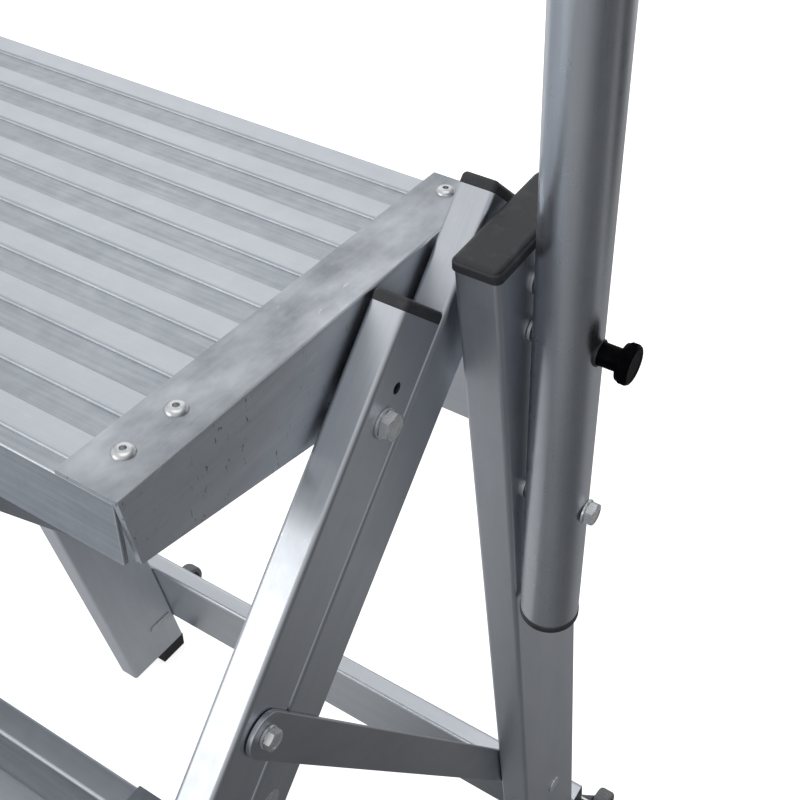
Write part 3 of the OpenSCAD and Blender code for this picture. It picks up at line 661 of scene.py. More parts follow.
def soften(mesh: bpy.types.Mesh, width_mm: float, segments: int = 2) -> bpy.types.Mesh:
    """Rounds a mesh's sharp edges and marks the new faces.

    Args:
        mesh: The mesh, changed in place.
        width_mm: Width of the rounding.
        segments: Faces across the rounding.

    Returns:
        The same mesh, with "edge" at 1 on the rounding.
    """
    shape = opened(mesh)
    layer = shape.faces.layers.float.new("edge")
    sharp = [edge for edge in shape.edges
             if len(edge.link_faces) == 2 and edge.calc_face_angle(0.0) > SOFT_ANGLE]
    for face in rounded(shape, sharp, width_mm, segments, True):
        face[layer] = 1.0
    return closed(shape, mesh)


def linked(name: str, data: bpy.types.ID) -> bpy.types.Object:
    """Puts a new object into the scene.

    Args:
        name: The object's name.
        data: Its mesh, lamp or camera.

    Returns:
        The object.
    """
    made = bpy.data.objects.new(name, data)
    bpy.context.scene.collection.objects.link(made)
    return made


def evaluated(carrier: bpy.types.Object) -> bpy.types.Mesh:
    """The plain mesh that an object's modifiers make."""
    graph = bpy.context.evaluated_depsgraph_get()
    return bpy.data.meshes.new_from_object(carrier.evaluated_get(graph))


def settle_normals(mesh: bpy.types.Mesh) -> bpy.types.Mesh:
    """Shades a mesh smooth with its flat faces kept flat.

    Args:
        mesh: The mesh.

    Returns:
        A new mesh with the finished normals.
    """
    mesh.polygons.foreach_set("use_smooth", [True] * len(mesh.polygons))
    mesh.set_sharp_from_angle(angle=SMOOTH_ANGLE)
    carrier = linked("carrier", mesh)
    weighted = carrier.modifiers.new("weighted", "WEIGHTED_NORMAL")
    weighted.keep_sharp = True
    made = evaluated(carrier)
    bpy.data.objects.remove(carrier)
    return made


def from_cad(node: str, width_mm: float, segments: int = 2) -> bpy.types.Mesh:
    """A copy of a CAD node's mesh with rounded edges."""
    return soften(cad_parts[node].data.copy(), width_mm, segments)


def folded(node: str, bend_mm: float = 1.35) -> bpy.types.Mesh:
    """A copy of a CAD node's mesh whose flanges turn into their skirts with a round bend.

    Args:
        node: The node's name.
        bend_mm: Width of the bend.

    Returns:
        The new mesh, its other edges softened.
    """
    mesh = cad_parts[node].data.copy()
    shape = opened(mesh, 0.08 * MM)
    top = max(point.co.z for point in shape.verts)
    upper = [abs(point.co.x) for point in shape.verts if abs(point.co.z - top) < TOUCH]
    corners = [edge for edge in shape.edges
               if all(abs(end.co.z - top) < TOUCH and abs(abs(end.co.x) - max(upper)) < TOUCH
                      for end in edge.verts)]
    rounded(shape, corners, bend_mm, 4, False)
    return trodden(soften(closed(shape, mesh), width_mm=0.3))


def trodden(mesh: bpy.types.Mesh) -> bpy.types.Mesh:
    """Marks the faces that shoes rub.

    Args:
        mesh: The mesh, changed in place.

    Returns:
        The same mesh, with the trodden mark at 1 on faces that point up, and the edge mark at 1
        on faces that tilt up part way, such as the bend beside them, as a painted highlight.
    """
    level, steep = 0.9, 0.3
    marks = mesh.attributes.new("trodden", "FLOAT", "FACE")
    marks.data.foreach_set("value", [float(face.normal.z > level) for face in mesh.polygons])
    for face, edge in zip(mesh.polygons, mesh.attributes["edge"].data):
        # Faces tilted part way up, such as the flange bends, take the edge mark: a painted
        # highlight.
        if steep < face.normal.z <= level:
            edge.value = 1.0
    return mesh


def solids(node: str) -> list[tuple[Vector, Vector]]:
    """Finds the separate solids of a CAD node.

    Args:
        node: The node's name.

    Returns:
        Each solid's lowest and highest corner, right side first.
    """
    shape = bmesh.new()
    shape.from_mesh(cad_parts[node].data)
    bmesh.ops.remove_doubles(shape, verts=shape.verts, dist=WELD)
    shape.verts.ensure_lookup_table()
    seen: set[int] = set()
    boxes = []
    for first in shape.verts:
        if first.index in seen:
            continue
        seen.add(first.index)
        trail, members = [first], []
        while trail:
            here = trail.pop()
            members.append(here.co.copy())
            for edge in here.link_edges:
                other = edge.other_vert(here)
                if other.index not in seen:
                    seen.add(other.index)
                    trail.append(other)
        boxes.append((Vector([min(p[i] for p in members) for i in range(3)]),
                      Vector([max(p[i] for p in members) for i in range(3)])))
    shape.free()
    return sorted(boxes, key=lambda box: (-box[0].x, box[0].z, box[0].y))


def show(name: str, mesh: bpy.types.Mesh, finish: Finish, body: str, *nodes: str) -> None:
    """Puts a finished mesh into the scene as a piece.

    Args:
        name: The piece's name.
        mesh: Its mesh, in place.
        finish: Its finish.
        body: The body that it rides on.
        nodes: The CAD nodes that it stands for.
    """
    done = settle_normals(mesh)
    done.materials.clear()
    done.materials.append(finish.material())
    piece = linked(name, done)
    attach(piece, body)
    if nodes:
        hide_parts(*nodes)
    LOG.info("%s on %s: %d faces", name, body, len(done.polygons))


def cast(name: str, node: str, finish: Finish, body: str, width_mm: float = 0.35,
         segments: int = 2) -> None:
    """Puts a CAD node's own shape into the scene with rounded edges.

    Args:
        name: The piece's name.
        node: The CAD node.
        finish: Its finish.
        body: The body that it rides on.
        width_mm: Width of the rounding.
        segments: Faces across the rounding.
    """
    show(name, from_cad(node, width_mm, segments), finish, body, node)


def facing(side: int, at: Vector) -> Matrix:
    """A place whose Z axis points to the stool's outside on one side."""
    turn = Matrix.Rotation(side * math.pi / 2, 4, "Y")
    return Matrix.Translation(at) @ turn


# Trees that repeat and sweep

class Growth(Sheet):
    """A Geometry Nodes tree with named inputs."""

    def __init__(self, name: str, inputs: dict[str, tuple[str, Any]]) -> None:
        """Makes the tree and its inputs.

        Args:
            name: The tree's name.
            inputs: Each input's socket type and usual value.
        """
        super().__init__(bpy.data.node_groups.new(name, "GeometryNodeTree"))
        face = self.tree.interface
        face.new_socket("Seed shape", in_out="INPUT", socket_type="NodeSocketGeometry")
        self.keys: dict[str, str] = {}
        for title, (kind, usual) in {**inputs, "Finish": ("NodeSocketMaterial", None)}.items():
            made = face.new_socket(title, in_out="INPUT", socket_type=kind)
            if usual is not None:
                made.default_value = usual
            self.keys[title] = made.identifier
        face.new_socket("Shape", in_out="OUTPUT", socket_type="NodeSocketGeometry")
        self.entry = self.node("NodeGroupInput")

    def given(self, title: str) -> Wire:
        """An input as a wire."""
        return self.wire(self.entry, title)

    def end(self, shape: Any) -> None:
        """Realizes the instances, sets the finish and closes the tree.

        Args:
            shape: The geometry socket that the tree ends in.
        """
        real = self.node("GeometryNodeRealizeInstances", None, {"Geometry": shape})
        dressed = self.node("GeometryNodeSetMaterial", None,
                            {"Geometry": real.outputs[0], "Material": self.given("Finish")})
        self.node("NodeGroupOutput", None, {0: dressed.outputs[0]})

    def grow(self, seed: bpy.types.Mesh, finish: Finish, **values: Any) -> bpy.types.Mesh:
        """Runs the tree on a seed mesh.

        Args:
            seed: The mesh that it starts from.
            finish: The finish that it sets.
            values: Inputs by name, with underscores for spaces.

        Returns:
            The result as a plain mesh.
        """
        carrier = linked("carrier", seed)
        modifier = carrier.modifiers.new("growth", "NODES")
        modifier.node_group = self.tree
        modifier[self.keys["Finish"]] = finish.material()
        for title, value in values.items():
            modifier[self.keys[title.replace("_", " ")]] = value
        made = evaluated(carrier)
        carrier.modifiers.remove(modifier)
        bpy.data.objects.remove(carrier)
        return made


class Repeated(Growth):
    """Puts one shape on every spot, its Z axis along the spot's aim."""

    def __init__(self) -> None:
        """Builds the tree."""
        super().__init__("Repeat on spots", {
            "Shape": ("NodeSocketObject", None), "Spin": ("NodeSocketFloat", 0.0),
            "Seed": ("NodeSocketInt", 1)})
        spots = self.node("GeometryNodeMeshToPoints", None, {"Mesh": self.given("Seed shape")})
        aim = self.node("GeometryNodeInputNamedAttribute", {"data_type": "FLOAT_VECTOR"},
                        {"Name": "aim"})
        turn = self.node("FunctionNodeAlignRotationToVector", {"axis": "Z"},
                         {"Vector": aim.outputs[0]})
        shape = self.node("GeometryNodeObjectInfo", {"transform_space": "ORIGINAL"},
                          {"Object": self.given("Shape"), "As Instance": True})
        placed = self.node("GeometryNodeInstanceOnPoints", None,
                           {"Points": spots.outputs[0], "Instance": shape.outputs["Geometry"],
                            "Rotation": turn.outputs[0]})
        chance = self.node("FunctionNodeRandomValue", {"data_type": "FLOAT"},
                           {"Min_001": 0.0, "Max_001": self.given("Spin"),
                            "Seed": self.given("Seed")})
        spin = self.node("ShaderNodeCombineXYZ", None, {"Z": self.wire(chance, "Value_001")})
        turned = self.node("GeometryNodeRotateInstances", None,
                           {"Instances": placed.outputs[0], "Rotation": spin.outputs[0],
                            "Local Space": True})
        self.end(turned.outputs[0])

    def on_spots(self, shell: Shell, spots: Sequence[tuple[Vector, Vector]], finish: Finish,
                 spin: float = 0.0, seed: int = 1) -> bpy.types.Mesh:
        """Repeats a shell.

        Args:
            shell: The shape to repeat, its seat at the origin and its axis along Z.
            spots: Each place and the way it points.
            finish: The finish.
            spin: Largest random turn about the axis.
            seed: Seed of the random turns.

        Returns:
            One mesh with every copy.
        """
        model = linked("model", shell.mesh("model"))
        seed_mesh = bpy.data.meshes.new("spots")
        seed_mesh.from_pydata([tuple(place) for place, _ in spots], [], [])
        aims = seed_mesh.attributes.new("aim", "FLOAT_VECTOR", "POINT")
        aims.data.foreach_set("vector", [value for _, aim in spots for value in aim])
        made = self.grow(seed_mesh, finish, Shape=model, Spin=spin, Seed=seed)
        bpy.data.objects.remove(model)
        return made


class Knurled(Growth):
    """A ring of straight teeth about Z."""

    def __init__(self) -> None:
        """Builds the tree."""
        super().__init__("Ring of teeth", {
            "Teeth": ("NodeSocketInt", 40), "Radius": ("NodeSocketFloat", 0.01),
            "Tooth": ("NodeSocketFloat", 0.0006), "Length": ("NodeSocketFloat", 0.005)})
        ring = self.node("GeometryNodeMeshCircle", None,
                         {"Vertices": self.given("Teeth"), "Radius": self.given("Radius")})
        tooth = self.node("GeometryNodeMeshCylinder", None,
                          {"Vertices": 4, "Radius": self.given("Tooth"),
                           "Depth": self.given("Length")})
        outward = self.node("FunctionNodeAlignRotationToVector", {"axis": "X", "pivot_axis": "Z"},
                            {"Vector": self.node("GeometryNodeInputPosition").outputs[0]})
        placed = self.node("GeometryNodeInstanceOnPoints", None,
                           {"Points": ring.outputs[0], "Instance": tooth.outputs[0],
                            "Rotation": outward.outputs[0]})
        self.end(placed.outputs[0])


class Ribbed(Growth):
    """A row of rounded bars along X, one pitch apart along Y."""

    def __init__(self) -> None:
        """Builds the tree."""
        super().__init__("Row of bars", {
            "Count": ("NodeSocketInt", 5), "Pitch": ("NodeSocketFloat", 0.03),
            "Width": ("NodeSocketFloat", 0.0157), "Height": ("NodeSocketFloat", 0.004),
            "Round": ("NodeSocketFloat", 0.001), "Length": ("NodeSocketFloat", 0.44)})
        half = self.given("Length") / 2
        low = self.node("ShaderNodeCombineXYZ", None, {"X": 0 - half})
        high = self.node("ShaderNodeCombineXYZ", None, {"X": half})
        line = self.node("GeometryNodeCurvePrimitiveLine", None,
                         {"Start": low.outputs[0], "End": high.outputs[0]})
        section = self.node("GeometryNodeCurvePrimitiveQuadrilateral", {"mode": "RECTANGLE"},
                            {"Width": self.given("Width"), "Height": self.given("Height")})
        rolled = self.node("GeometryNodeFilletCurve", {"mode": "POLY"},
                           {"Curve": section.outputs[0], "Radius": self.given("Round"),
                            "Count": 4, "Limit Radius": True})
        bar = self.node("GeometryNodeCurveToMesh", None,
                        {"Curve": line.outputs[0], "Profile Curve": rolled.outputs[0],
                         "Fill Caps": True})
        step = self.node("ShaderNodeCombineXYZ", None, {"Y": self.given("Pitch")})
        row = self.node("GeometryNodeMeshLine", {"mode": "OFFSET"},
                        {"Count": self.given("Count"), "Offset": step.outputs[0]})
        placed = self.node("GeometryNodeInstanceOnPoints", None,
                           {"Points": row.outputs[0], "Instance": bar.outputs[0]})
        self.end(placed.outputs[0])


class Swept(Growth):
    """A round bar along a path whose corners are bent."""

    def __init__(self) -> None:
        """Builds the tree."""
        super().__init__("Bent tube", {
            "Bend": ("NodeSocketFloat", 0.09), "Radius": ("NodeSocketFloat", 0.0175),
            "Steps": ("NodeSocketInt", 24), "Sides": ("NodeSocketInt", 64)})
        path = self.node("GeometryNodeMeshToCurve", None, {"Mesh": self.given("Seed shape")})
        bent = self.node("GeometryNodeFilletCurve", {"mode": "POLY"},
                         {"Curve": path.outputs[0], "Radius": self.given("Bend"),
                          "Count": self.given("Steps")})
        section = self.node("GeometryNodeCurvePrimitiveCircle", None,
                            {"Resolution": self.given("Sides"), "Radius": self.given("Radius")})
        tube = self.node("GeometryNodeCurveToMesh", None,
                         {"Curve": bent.outputs[0], "Profile Curve": section.outputs[0],
                          "Fill Caps": True})
        self.end(tube.outputs[0])


@dataclass
class Workshop:
    """The trees that the sub-assemblies share."""

    repeated: Repeated = field(default_factory=Repeated)
    knurled: Knurled = field(default_factory=Knurled)
    ribbed: Ribbed = field(default_factory=Ribbed)
    swept: Swept = field(default_factory=Swept)


def joined(*meshes: bpy.types.Mesh) -> bpy.types.Mesh:
    """Makes one mesh of several.

    Args:
        meshes: The meshes, which stay as they are.

    Returns:
        The new mesh.
    """
    shape = bmesh.new()
    for mesh in meshes:
        shape.from_mesh(mesh)
    return closed(shape, bpy.data.meshes.new("joined"))


# Fasteners

@dataclass
class Fasteners:
    """Hexagon bolts, nuts, washers and rivets at the places of their CAD solids.

    Sizes are in mm. The chamfer's circle and the collar under a head are shares of the flats.
    """

    shop: Workshop
    across_flats: float = 13.0
    head: float = 5.3
    bolt: float = 8.0
    washer: float = 8.0
    nut: float = 6.5
    rivet: float = 10.5
    rivet_high: float = 2.4
    chamfer: float = 0.96
    collar: float = 0.95

    def _hex_radius(self, turn: float) -> float:
        """Distance from the axis to the hexagon's side, in mm."""
        return self.across_flats / 2 / math.cos((turn % (math.pi / 3)) - math.pi / 6)

    def _hex_ring(self, low: float, chamfer_down: bool, flat: bool = False) -> list[Vector]:
        """One ring round the hexagon.

        Args:
            low: Height of the end face, in mm.
            chamfer_down: The chamfer drops from the end face, and otherwise rises.
            flat: The ring lies in the end face, on the chamfer's circle.

        Returns:
            The ring's points.
        """
        ring = []
        face_r = self.across_flats / 2 * self.chamfer
        for step in range(HEX_STEPS):
            turn = 2 * math.pi * step / HEX_STEPS
            radius = face_r if flat else self._hex_radius(turn)
            drop = 0.0 if flat else (radius - face_r) * 0.5
            z = low - drop if chamfer_down else low + drop
            ring.append(Vector((radius * math.cos(turn), radius * math.sin(turn), z)) * MM)
        return ring

    def bolt_shell(self, length: float) -> Shell:
        """A bolt whose tip is at the origin.

        Args:
            length: From the tip to the top of the head, in mm.

        Returns:
            The shell.
        """
        r = self.bolt / 2
        seat = length - self.head
        shell = Shell().lathe([(0, r - 0.7), (0.7, r), (seat + 0.2, r)], steps=28)
        collar = self.across_flats / 2 * self.collar
        shell.lathe([(seat, collar), (seat + 0.4, collar)], HEX_STEPS)
        low = seat + 0.35
        base = [Vector((p.x, p.y, low * MM)) for p in self._hex_ring(0, True)]
        top = self._hex_ring(length, True)
        crown = self._hex_ring(length, True, flat=True)
        inner = [Vector((p.x * 0.8, p.y * 0.8, length * MM)) for p in crown]
        dish = [Vector((p.x * 0.72, p.y * 0.72, (length - 0.35) * MM)) for p in crown]
        return shell.rings([base, top, crown, inner, dish])

    def nut_shell(self, height: float) -> Shell:
        """A nut with both ends chamfered.

        Args:
            height: Its height, in mm.

        Returns:
            The shell.
        """
        hole = self.bolt / 2 + 0.05
        turns = [2 * math.pi * step / HEX_STEPS for step in range(HEX_STEPS)]
        bore = [[Vector((hole * math.cos(turn), hole * math.sin(turn), z)) * MM
                 for turn in turns] for z in (height, 0)]
        return Shell().rings([self._hex_ring(0, False, True), self._hex_ring(0, False),
                              self._hex_ring(height, True), self._hex_ring(height, True, True),
                              *bore], loop=True)

    def washer_shell(self, thick: float) -> Shell:
        """A washer with rolled edges.

        Args:
            thick: Its thickness, in mm.

        Returns:
            The shell, its lower face at the origin.
        """
        outer, hole = self.washer, self.bolt / 2 + 0.05
        soft = min(0.35, thick / 3)
        return Shell().lathe([(0, hole), (0, outer - soft), (soft, outer),
                              (thick - soft, outer), (thick, outer - soft),
                              (thick, hole + soft), (thick - soft, hole)], steps=44, loop=True)

    def rivet_shell(self, radius: float, high: float, hole: float = 1.5) -> Shell:
        """A domed rivet with a set pin hole.

        Args:
            radius: Radius of the head, in mm.
            high: Height of the dome, in mm.
            hole: Radius of the hole, in mm.

        Returns:
            The shell.
        """
        lip = hole + 0.35
        dome = [(0.0, radius), (0.12, radius)]
        for share in (0.97, 0.91, 0.82, 0.7, 0.55, 0.35, 0.0):
            dome.append((high * (1 - share ** 2.4) ** 0.6, lip + (radius - lip) * share))
        dome += [(dome[-1][0] - 0.12, hole + 0.05), (high * 0.08, hole * 0.92),
                 (high * 0.05, hole * 0.5), (high * 0.05, 0.25)]
        return Shell().lathe(dome, steps=32)

    def spots(self, node: str, tip: bool = True) -> list[tuple[Vector, Vector]]:
        """Places of a node's solids along X.

        Args:
            node: The CAD node.
            tip: Takes the inner end of each solid.

        Returns:
            Each place and the way outwards.
        """
        found = []
        for low, high in solids(node):
            middle = (low + high) / 2
            side = 1 if middle.x > 0 else -1
            near = min(abs(low.x), abs(high.x)) if tip else max(abs(low.x), abs(high.x))
            found.append((Vector((side * near, middle.y, middle.z)), Vector((side, 0, 0))))
        return found

    def depth(self, node: str) -> float:
        """Length of a node's first solid along X, in mm."""
        low, high = solids(node)[0]
        return (high.x - low.x) / MM

    def bolts(self, name: str, node: str, body: str, seed: int) -> None:
        """Makes the bolts of one node.

        Args:
            name: The piece's name.
            node: The CAD node.
            body: The body that it rides on.
            seed: Seed of their random turns.
        """
        mesh = self.shop.repeated.on_spots(self.bolt_shell(self.depth(node)), self.spots(node),
                                           STEEL_FASTENER, spin=1.0, seed=seed)
        show(name, mesh, STEEL_FASTENER, body, node)

    def nuts(self, name: str, node: str, body: str, seed: int) -> None:
        """Makes those nuts of one node that have this size.

        Args:
            name: The piece's name.
            node: The CAD node.
            body: The body that it rides on.
            seed: Seed of their random turns.
        """
        spots = [spot for spot, (low, high) in zip(self.spots(node), solids(node))
                 if abs((high.x - low.x) / MM - self.nut) < 0.2]
        mesh = self.shop.repeated.on_spots(self.nut_shell(self.nut), spots, STEEL_FASTENER,
                                           spin=1.0, seed=seed)
        show(name, mesh, STEEL_FASTENER, body, node)

    def washers(self, name: str, node: str, body: str) -> None:
        """Makes the washers of one node.

        Args:
            name: The piece's name.
            node: The CAD node.
            body: The body that it rides on.
        """
        mesh = self.shop.repeated.on_spots(self.washer_shell(self.depth(node)),
                                           self.spots(node), STEEL_FASTENER)
        show(name, mesh, STEEL_FASTENER, body, node)

    def rivets_up(self, name: str, node: str, body: str) -> None:
        """Makes the domed rivets that point up from a flange.

        Args:
            name: The piece's name.
            node: The CAD node.
            body: The body that it rides on.
        """
        seat = solids(node)[0][1].z - self.rivet_high * MM
        places = [(Vector(((a.x + b.x) / 2, (a.y + b.y) / 2, seat)), Vector((0, 0, 1)))
                  for a, b in solids(node)]
        mesh = self.shop.repeated.on_spots(self.rivet_shell(self.rivet / 2, self.rivet_high),
                                           places, ALU_RIVET, spin=6.0, seed=7)
        show(name, mesh, ALU_RIVET, body, node)

    def rivets_back(self, name: str, node: str, body: str, radius: float, high: float,
                    lean: float) -> None:
        """Makes the domed rivets that point to the rear, square to a leg's lean.

        Args:
            name: The piece's name.
            node: The CAD node.
            body: The body that it rides on.
            radius: Radius of their heads, in mm.
            high: Height of their domes, in mm.
            lean: The leg's lean from upright, in radians.
        """
        aim = Vector((0, math.cos(lean), math.sin(lean)))
        places = []
        for low, up in solids(node):
            middle = (low + up) / 2
            reach = (up.y - middle.y - radius * MM * math.sin(lean)) / math.cos(lean)
            places.append((middle + aim * (reach - high * MM), aim))
        mesh = self.shop.repeated.on_spots(self.rivet_shell(radius, high, hole=1.2), places,
                                           ALU_RIVET, spin=6.0, seed=11)
        show(name, mesh, ALU_RIVET, body, node)


@dataclass(frozen=True)
class CapPlate:
    """A moulded end cap: a plate with a rounded rim and a plug, all in mm."""

    width: float
    length: float
    thick: float
    corner: float
    wall: float = 2.15
    plug: float = 14.0
    bead: bool = False

    def ring(self, inset: float, up: float) -> list[Vector]:
        """A rounded rectangle.

        Args:
            inset: How far it lies inside the cap's outline.
            up: Its height over the tube's end.

        Returns:
            The ring's points, in metres.
        """
        r = max(self.corner - inset, 0.5)
        across, along = self.width / 2 - inset - r, self.length / 2 - inset - r
        points = []
        for quarter, (sx, sy) in enumerate(((1, 1), (-1, 1), (-1, -1), (1, -1))):
            for step in range(CORNER_STEPS + 1):
                turn = math.pi / 2 * (quarter + step / CORNER_STEPS)
                points.append(Vector((sx * across + r * math.cos(turn),
                                      sy * along + r * math.sin(turn), up)) * MM)
        return points

    def shell(self) -> Shell:
        """The cap with its seat at the origin.

        Returns:
            The shell, its plug hanging down.
        """
        # How far the rim lies in, and how far below the top
        rim = ((0.0, 2.5), (0.15, 1.7), (0.55, 1.0), (1.0, 0.5), (1.6, 0.15), (2.4, 0.0))
        if self.bead:
            rim = ((0.0, 3.2), (0.12, 2.6), (0.45, 2.05), (0.9, 1.75), (1.15, 1.8),
                   (1.3, 1.55), (1.5, 0.95), (1.9, 0.45), (2.6, 0.12), (3.6, 0.0))
        skin = [self.ring(0.3, 0.0), self.ring(0.0, 0.3)]
        skin += [self.ring(inset, self.thick - sunk) for inset, sunk in rim]
        plug = [self.ring(self.wall + 1.0, -self.plug), self.ring(self.wall, 1 - self.plug),
                self.ring(self.wall, 0.5)]
        return Shell().rings(skin).rings(plug)


# Sub-assemblies

@dataclass
class RearFrame:
    """Rear legs, cross tubes, wheel brackets and the fixed pivots."""

    shop: Workshop
    fasteners: Fasteners
    body: str = "rear_frame"
    lean: float = math.radians(LEG_LEAN)
    cap: CapPlate = CapPlate(width=26.4, length=82.97, thick=7.0, corner=4.2, wall=4.8,
                             plug=9.0, bead=True)
    cap_at: Vector = field(default_factory=lambda: Vector((0.263, ROW_Y + 0.00083, 0.889)))
    cap_tilt: float = math.radians(5.0)

    def caps(self) -> Shell:
        """The caps on both legs.

        Returns:
            One shell.
        """
        both = Shell()
        for side in SIDES:
            at = Vector((side * self.cap_at.x, self.cap_at.y, self.cap_at.z))
            both.add(self.cap.shell(), Matrix.Translation(at)
                     @ Matrix.Rotation(self.cap_tilt, 4, "X"))
        return both

    def legs(self) -> None:
        """Both legs, their caps, feet and plates."""
        for side in ("right", "left"):
            node = f"rear_leg_{side}"
            cast(f"{node}_tube", node, ALU_LEG, self.body)
        show("rear_leg_end_caps", self.caps().mesh("caps"), CAP, self.body, "rear_leg_caps")
        cast("rear_foot_pads", "rear_feet", RUBBER, self.body, width_mm=0.8, segments=3)
        cast("foot_spring_plates", "foot_plates", STEEL_DULL, self.body, width_mm=0.3)

    def cross_tubes(self) -> None:
        """Cross tubes with plugs and rivets."""
        for level in ("upper", "lower"):
            cast(f"{level}_cross_profile", f"{level}_cross_tube", ALU_CROSS, self.body)
        cast("cross_profile_plugs", "cross_tube_plugs", CAP, self.body, width_mm=0.6)
        self.fasteners.rivets_back("cross_profile_rivets", "cross_tube_rivets", self.body,
                                   radius=6.0, high=2.4, lean=self.lean)

    def brackets(self) -> None:
        """Wheel brackets with rivets and axles."""
        cast("wheel_bracket_sheets", "wheel_brackets", STEEL_BRACKET, self.body, width_mm=0.4)
        self.fasteners.rivets_back("wheel_bracket_rivet_heads", "wheel_bracket_rivets",
                                   self.body, radius=4.8, high=1.92, lean=self.lean)
        cast("wheel_axle_pins", "wheel_axles", STEEL_FASTENER, self.body, width_mm=0.4)

    def pivots(self) -> None:
        """Pins, collars and bolts that stay with the legs."""
        cast("deck_pivot_pin_heads", "deck_pivot_pins", STEEL_FASTENER, self.body,
             width_mm=0.4, segments=3)
        cast("deck_pivot_collars", "pivot_collars", STEEL_FASTENER, self.body, width_mm=0.15)
        slim = replace(self.fasteners, across_flats=12.0, head=4.89, washer=7.2)
        slim.bolts("rail_pivot_bolts", "rail_bolts", self.body, seed=3)
        slim.washers("rail_pivot_washers", "rail_washers", self.body)
        cast("rail_pivot_nuts", "rail_bolt_nuts", STEEL_FASTENER, self.body,
             width_mm=0.3, segments=3)
        cast("rail_spacer_rings", "rail_pivot_spacers", STEEL_FASTENER, self.body, width_mm=0.2)
        cast("brace_rivet_heads", "brace_rivets", STEEL_FASTENER, self.body,
             width_mm=0.4, segments=3)

    def build(self) -> None:
        """Builds the whole sub-assembly."""
        self.legs()
        self.cross_tubes()
        self.brackets()
        self.pivots()


@dataclass
class Plank:
    """A drawn plank with grip bands, for the deck or a tread.

    Sizes are in metres. The bands reach into the sheet by a share of their own height.
    """

    shop: Workshop
    top: float
    front: float
    rear: float
    half: float = 0.221
    sheet_low: float = 0.0065
    band_top: float = 0.0025
    band_high: float = 0.0015
    band: float = 0.0157
    band_round: float = 0.0018
    band_sunk: float = 1.6
    band_side_mark: float = 0.2
    pitch: float = 0.0298
    wall: float = 0.003
    front_wall: float = 0.038
    rear_wall: float = 0.025
    rib: float = 0.018
    rib_shares: tuple[float, ...] = (0.64, 0.32)

    def outline(self) -> list[tuple[float, float]]:
        """The section without its bands.

        Returns:
            Points in y and z, in metres.
        """
        depth = self.rear - self.front
        skin = self.top - self.band_top - self.band_high
        under = self.top - self.sheet_low
        points = [(self.front, skin), (self.rear, skin), (self.rear, self.top - self.rear_wall),
                  (self.rear - self.wall, self.top - self.rear_wall),
                  (self.rear - self.wall, under)]
        for share in self.rib_shares:
            middle = self.front + share * depth
            behind, ahead = middle + self.wall / 2, middle - self.wall / 2
            points += [(behind, under), (behind, under - self.rib), (ahead, under - self.rib),
                       (ahead, under)]
        return points + [(self.front + self.wall, under),
                         (self.front + self.wall, self.top - self.front_wall),
                         (self.front, self.top - self.front_wall)]

    def mesh(self) -> bpy.types.Mesh:
        """The plank with its bands.

        Returns:
            One mesh whose bands carry the mark "raised": 1 on top and less down their sides.
        """
        body = soften(Shell().slab(self.outline(), -self.half, self.half).mesh("plank"),
                      width_mm=0.7, segments=3)
        count = int((self.rear - self.front - self.band) / self.pitch) + 1
        sunk = self.band_high * self.band_sunk
        bands = self.shop.ribbed.grow(
            bpy.data.meshes.new("seed"), ALU_PLANK, Count=count, Pitch=-self.pitch,
            Width=self.band, Height=self.band_high + sunk, Round=self.band_round,
            Length=2 * self.half)
        low = self.top - self.band_top - (self.band_high + sunk) / 2
        bands.transform(Matrix.Translation((0, self.rear - self.band / 2, low)))
        # Band tops get 1 and band sides less. Every other face of the plank counts as groove and
        # is darkened with painted shade and grime.
        flags = bands.attributes.new("raised", "FLOAT", "FACE")
        level = 0.97
        flags.data.foreach_set("value", [1.0 if face.normal.z > level else self.band_side_mark
                                         for face in bands.polygons])
        return joined(body, bands)


@dataclass
class Deck:
    """The standing deck: plank, end plates and rivets."""

    shop: Workshop
    fasteners: Fasteners
    body: str = "deck"
    top: float = DECK_TOP
    ahead: float = 0.229
    behind: float = 0.033

    def build(self) -> None:
        """Builds the whole sub-assembly."""
        plank = Plank(self.shop, self.top, front=ROW_Y - self.ahead, rear=ROW_Y + self.behind)
        show("deck_grip_plank", plank.mesh(), ALU_PLANK, self.body, "deck_plank")
        for side in ("right", "left"):
            node = f"deck_end_plate_{side}"
            show(f"{node}_sheet", folded(node), ALU_PLATE, self.body, node)
        self.fasteners.rivets_up("deck_rivet_heads", "deck_rivets", self.body)


@dataclass
class Treads:
    """The three treads with their brackets, rivets, screws and nuts."""

    shop: Workshop
    fasteners: Fasteners
    top: float = DECK_TOP
    riser: float = 0.22
    slope: float = math.radians(STEP_SLOPE)
    pivot: float = ROW_Y - 0.0886
    nose: float = 0.085
    depth: float = 0.14

    def build(self) -> None:
        """Builds the three treads."""
        for step, level in enumerate(("high", "mid", "low"), 1):
            body = f"tread_{level}"
            front = self.pivot - self.riser * step / math.tan(self.slope) - self.nose
            plank = Plank(self.shop, self.top - self.riser * step, front, front + self.depth)
            show(f"{body}_grip_plank", plank.mesh(), ALU_PLANK, body, f"tread_plank_{level}")
            show(f"{body}_bracket_sheets", folded(f"tread_brackets_{level}"), ALU_PLATE, body,
                 f"tread_brackets_{level}")
            self.fasteners.rivets_up(f"{body}_rivet_heads", f"tread_rivets_{level}", body)
            cast(f"{body}_link_screws", f"link_screws_{level}", STEEL_FASTENER, body,
                 width_mm=0.2)
            self.fasteners.nuts(f"{body}_link_nuts", f"link_nuts_{level}", body, seed=20 + step)


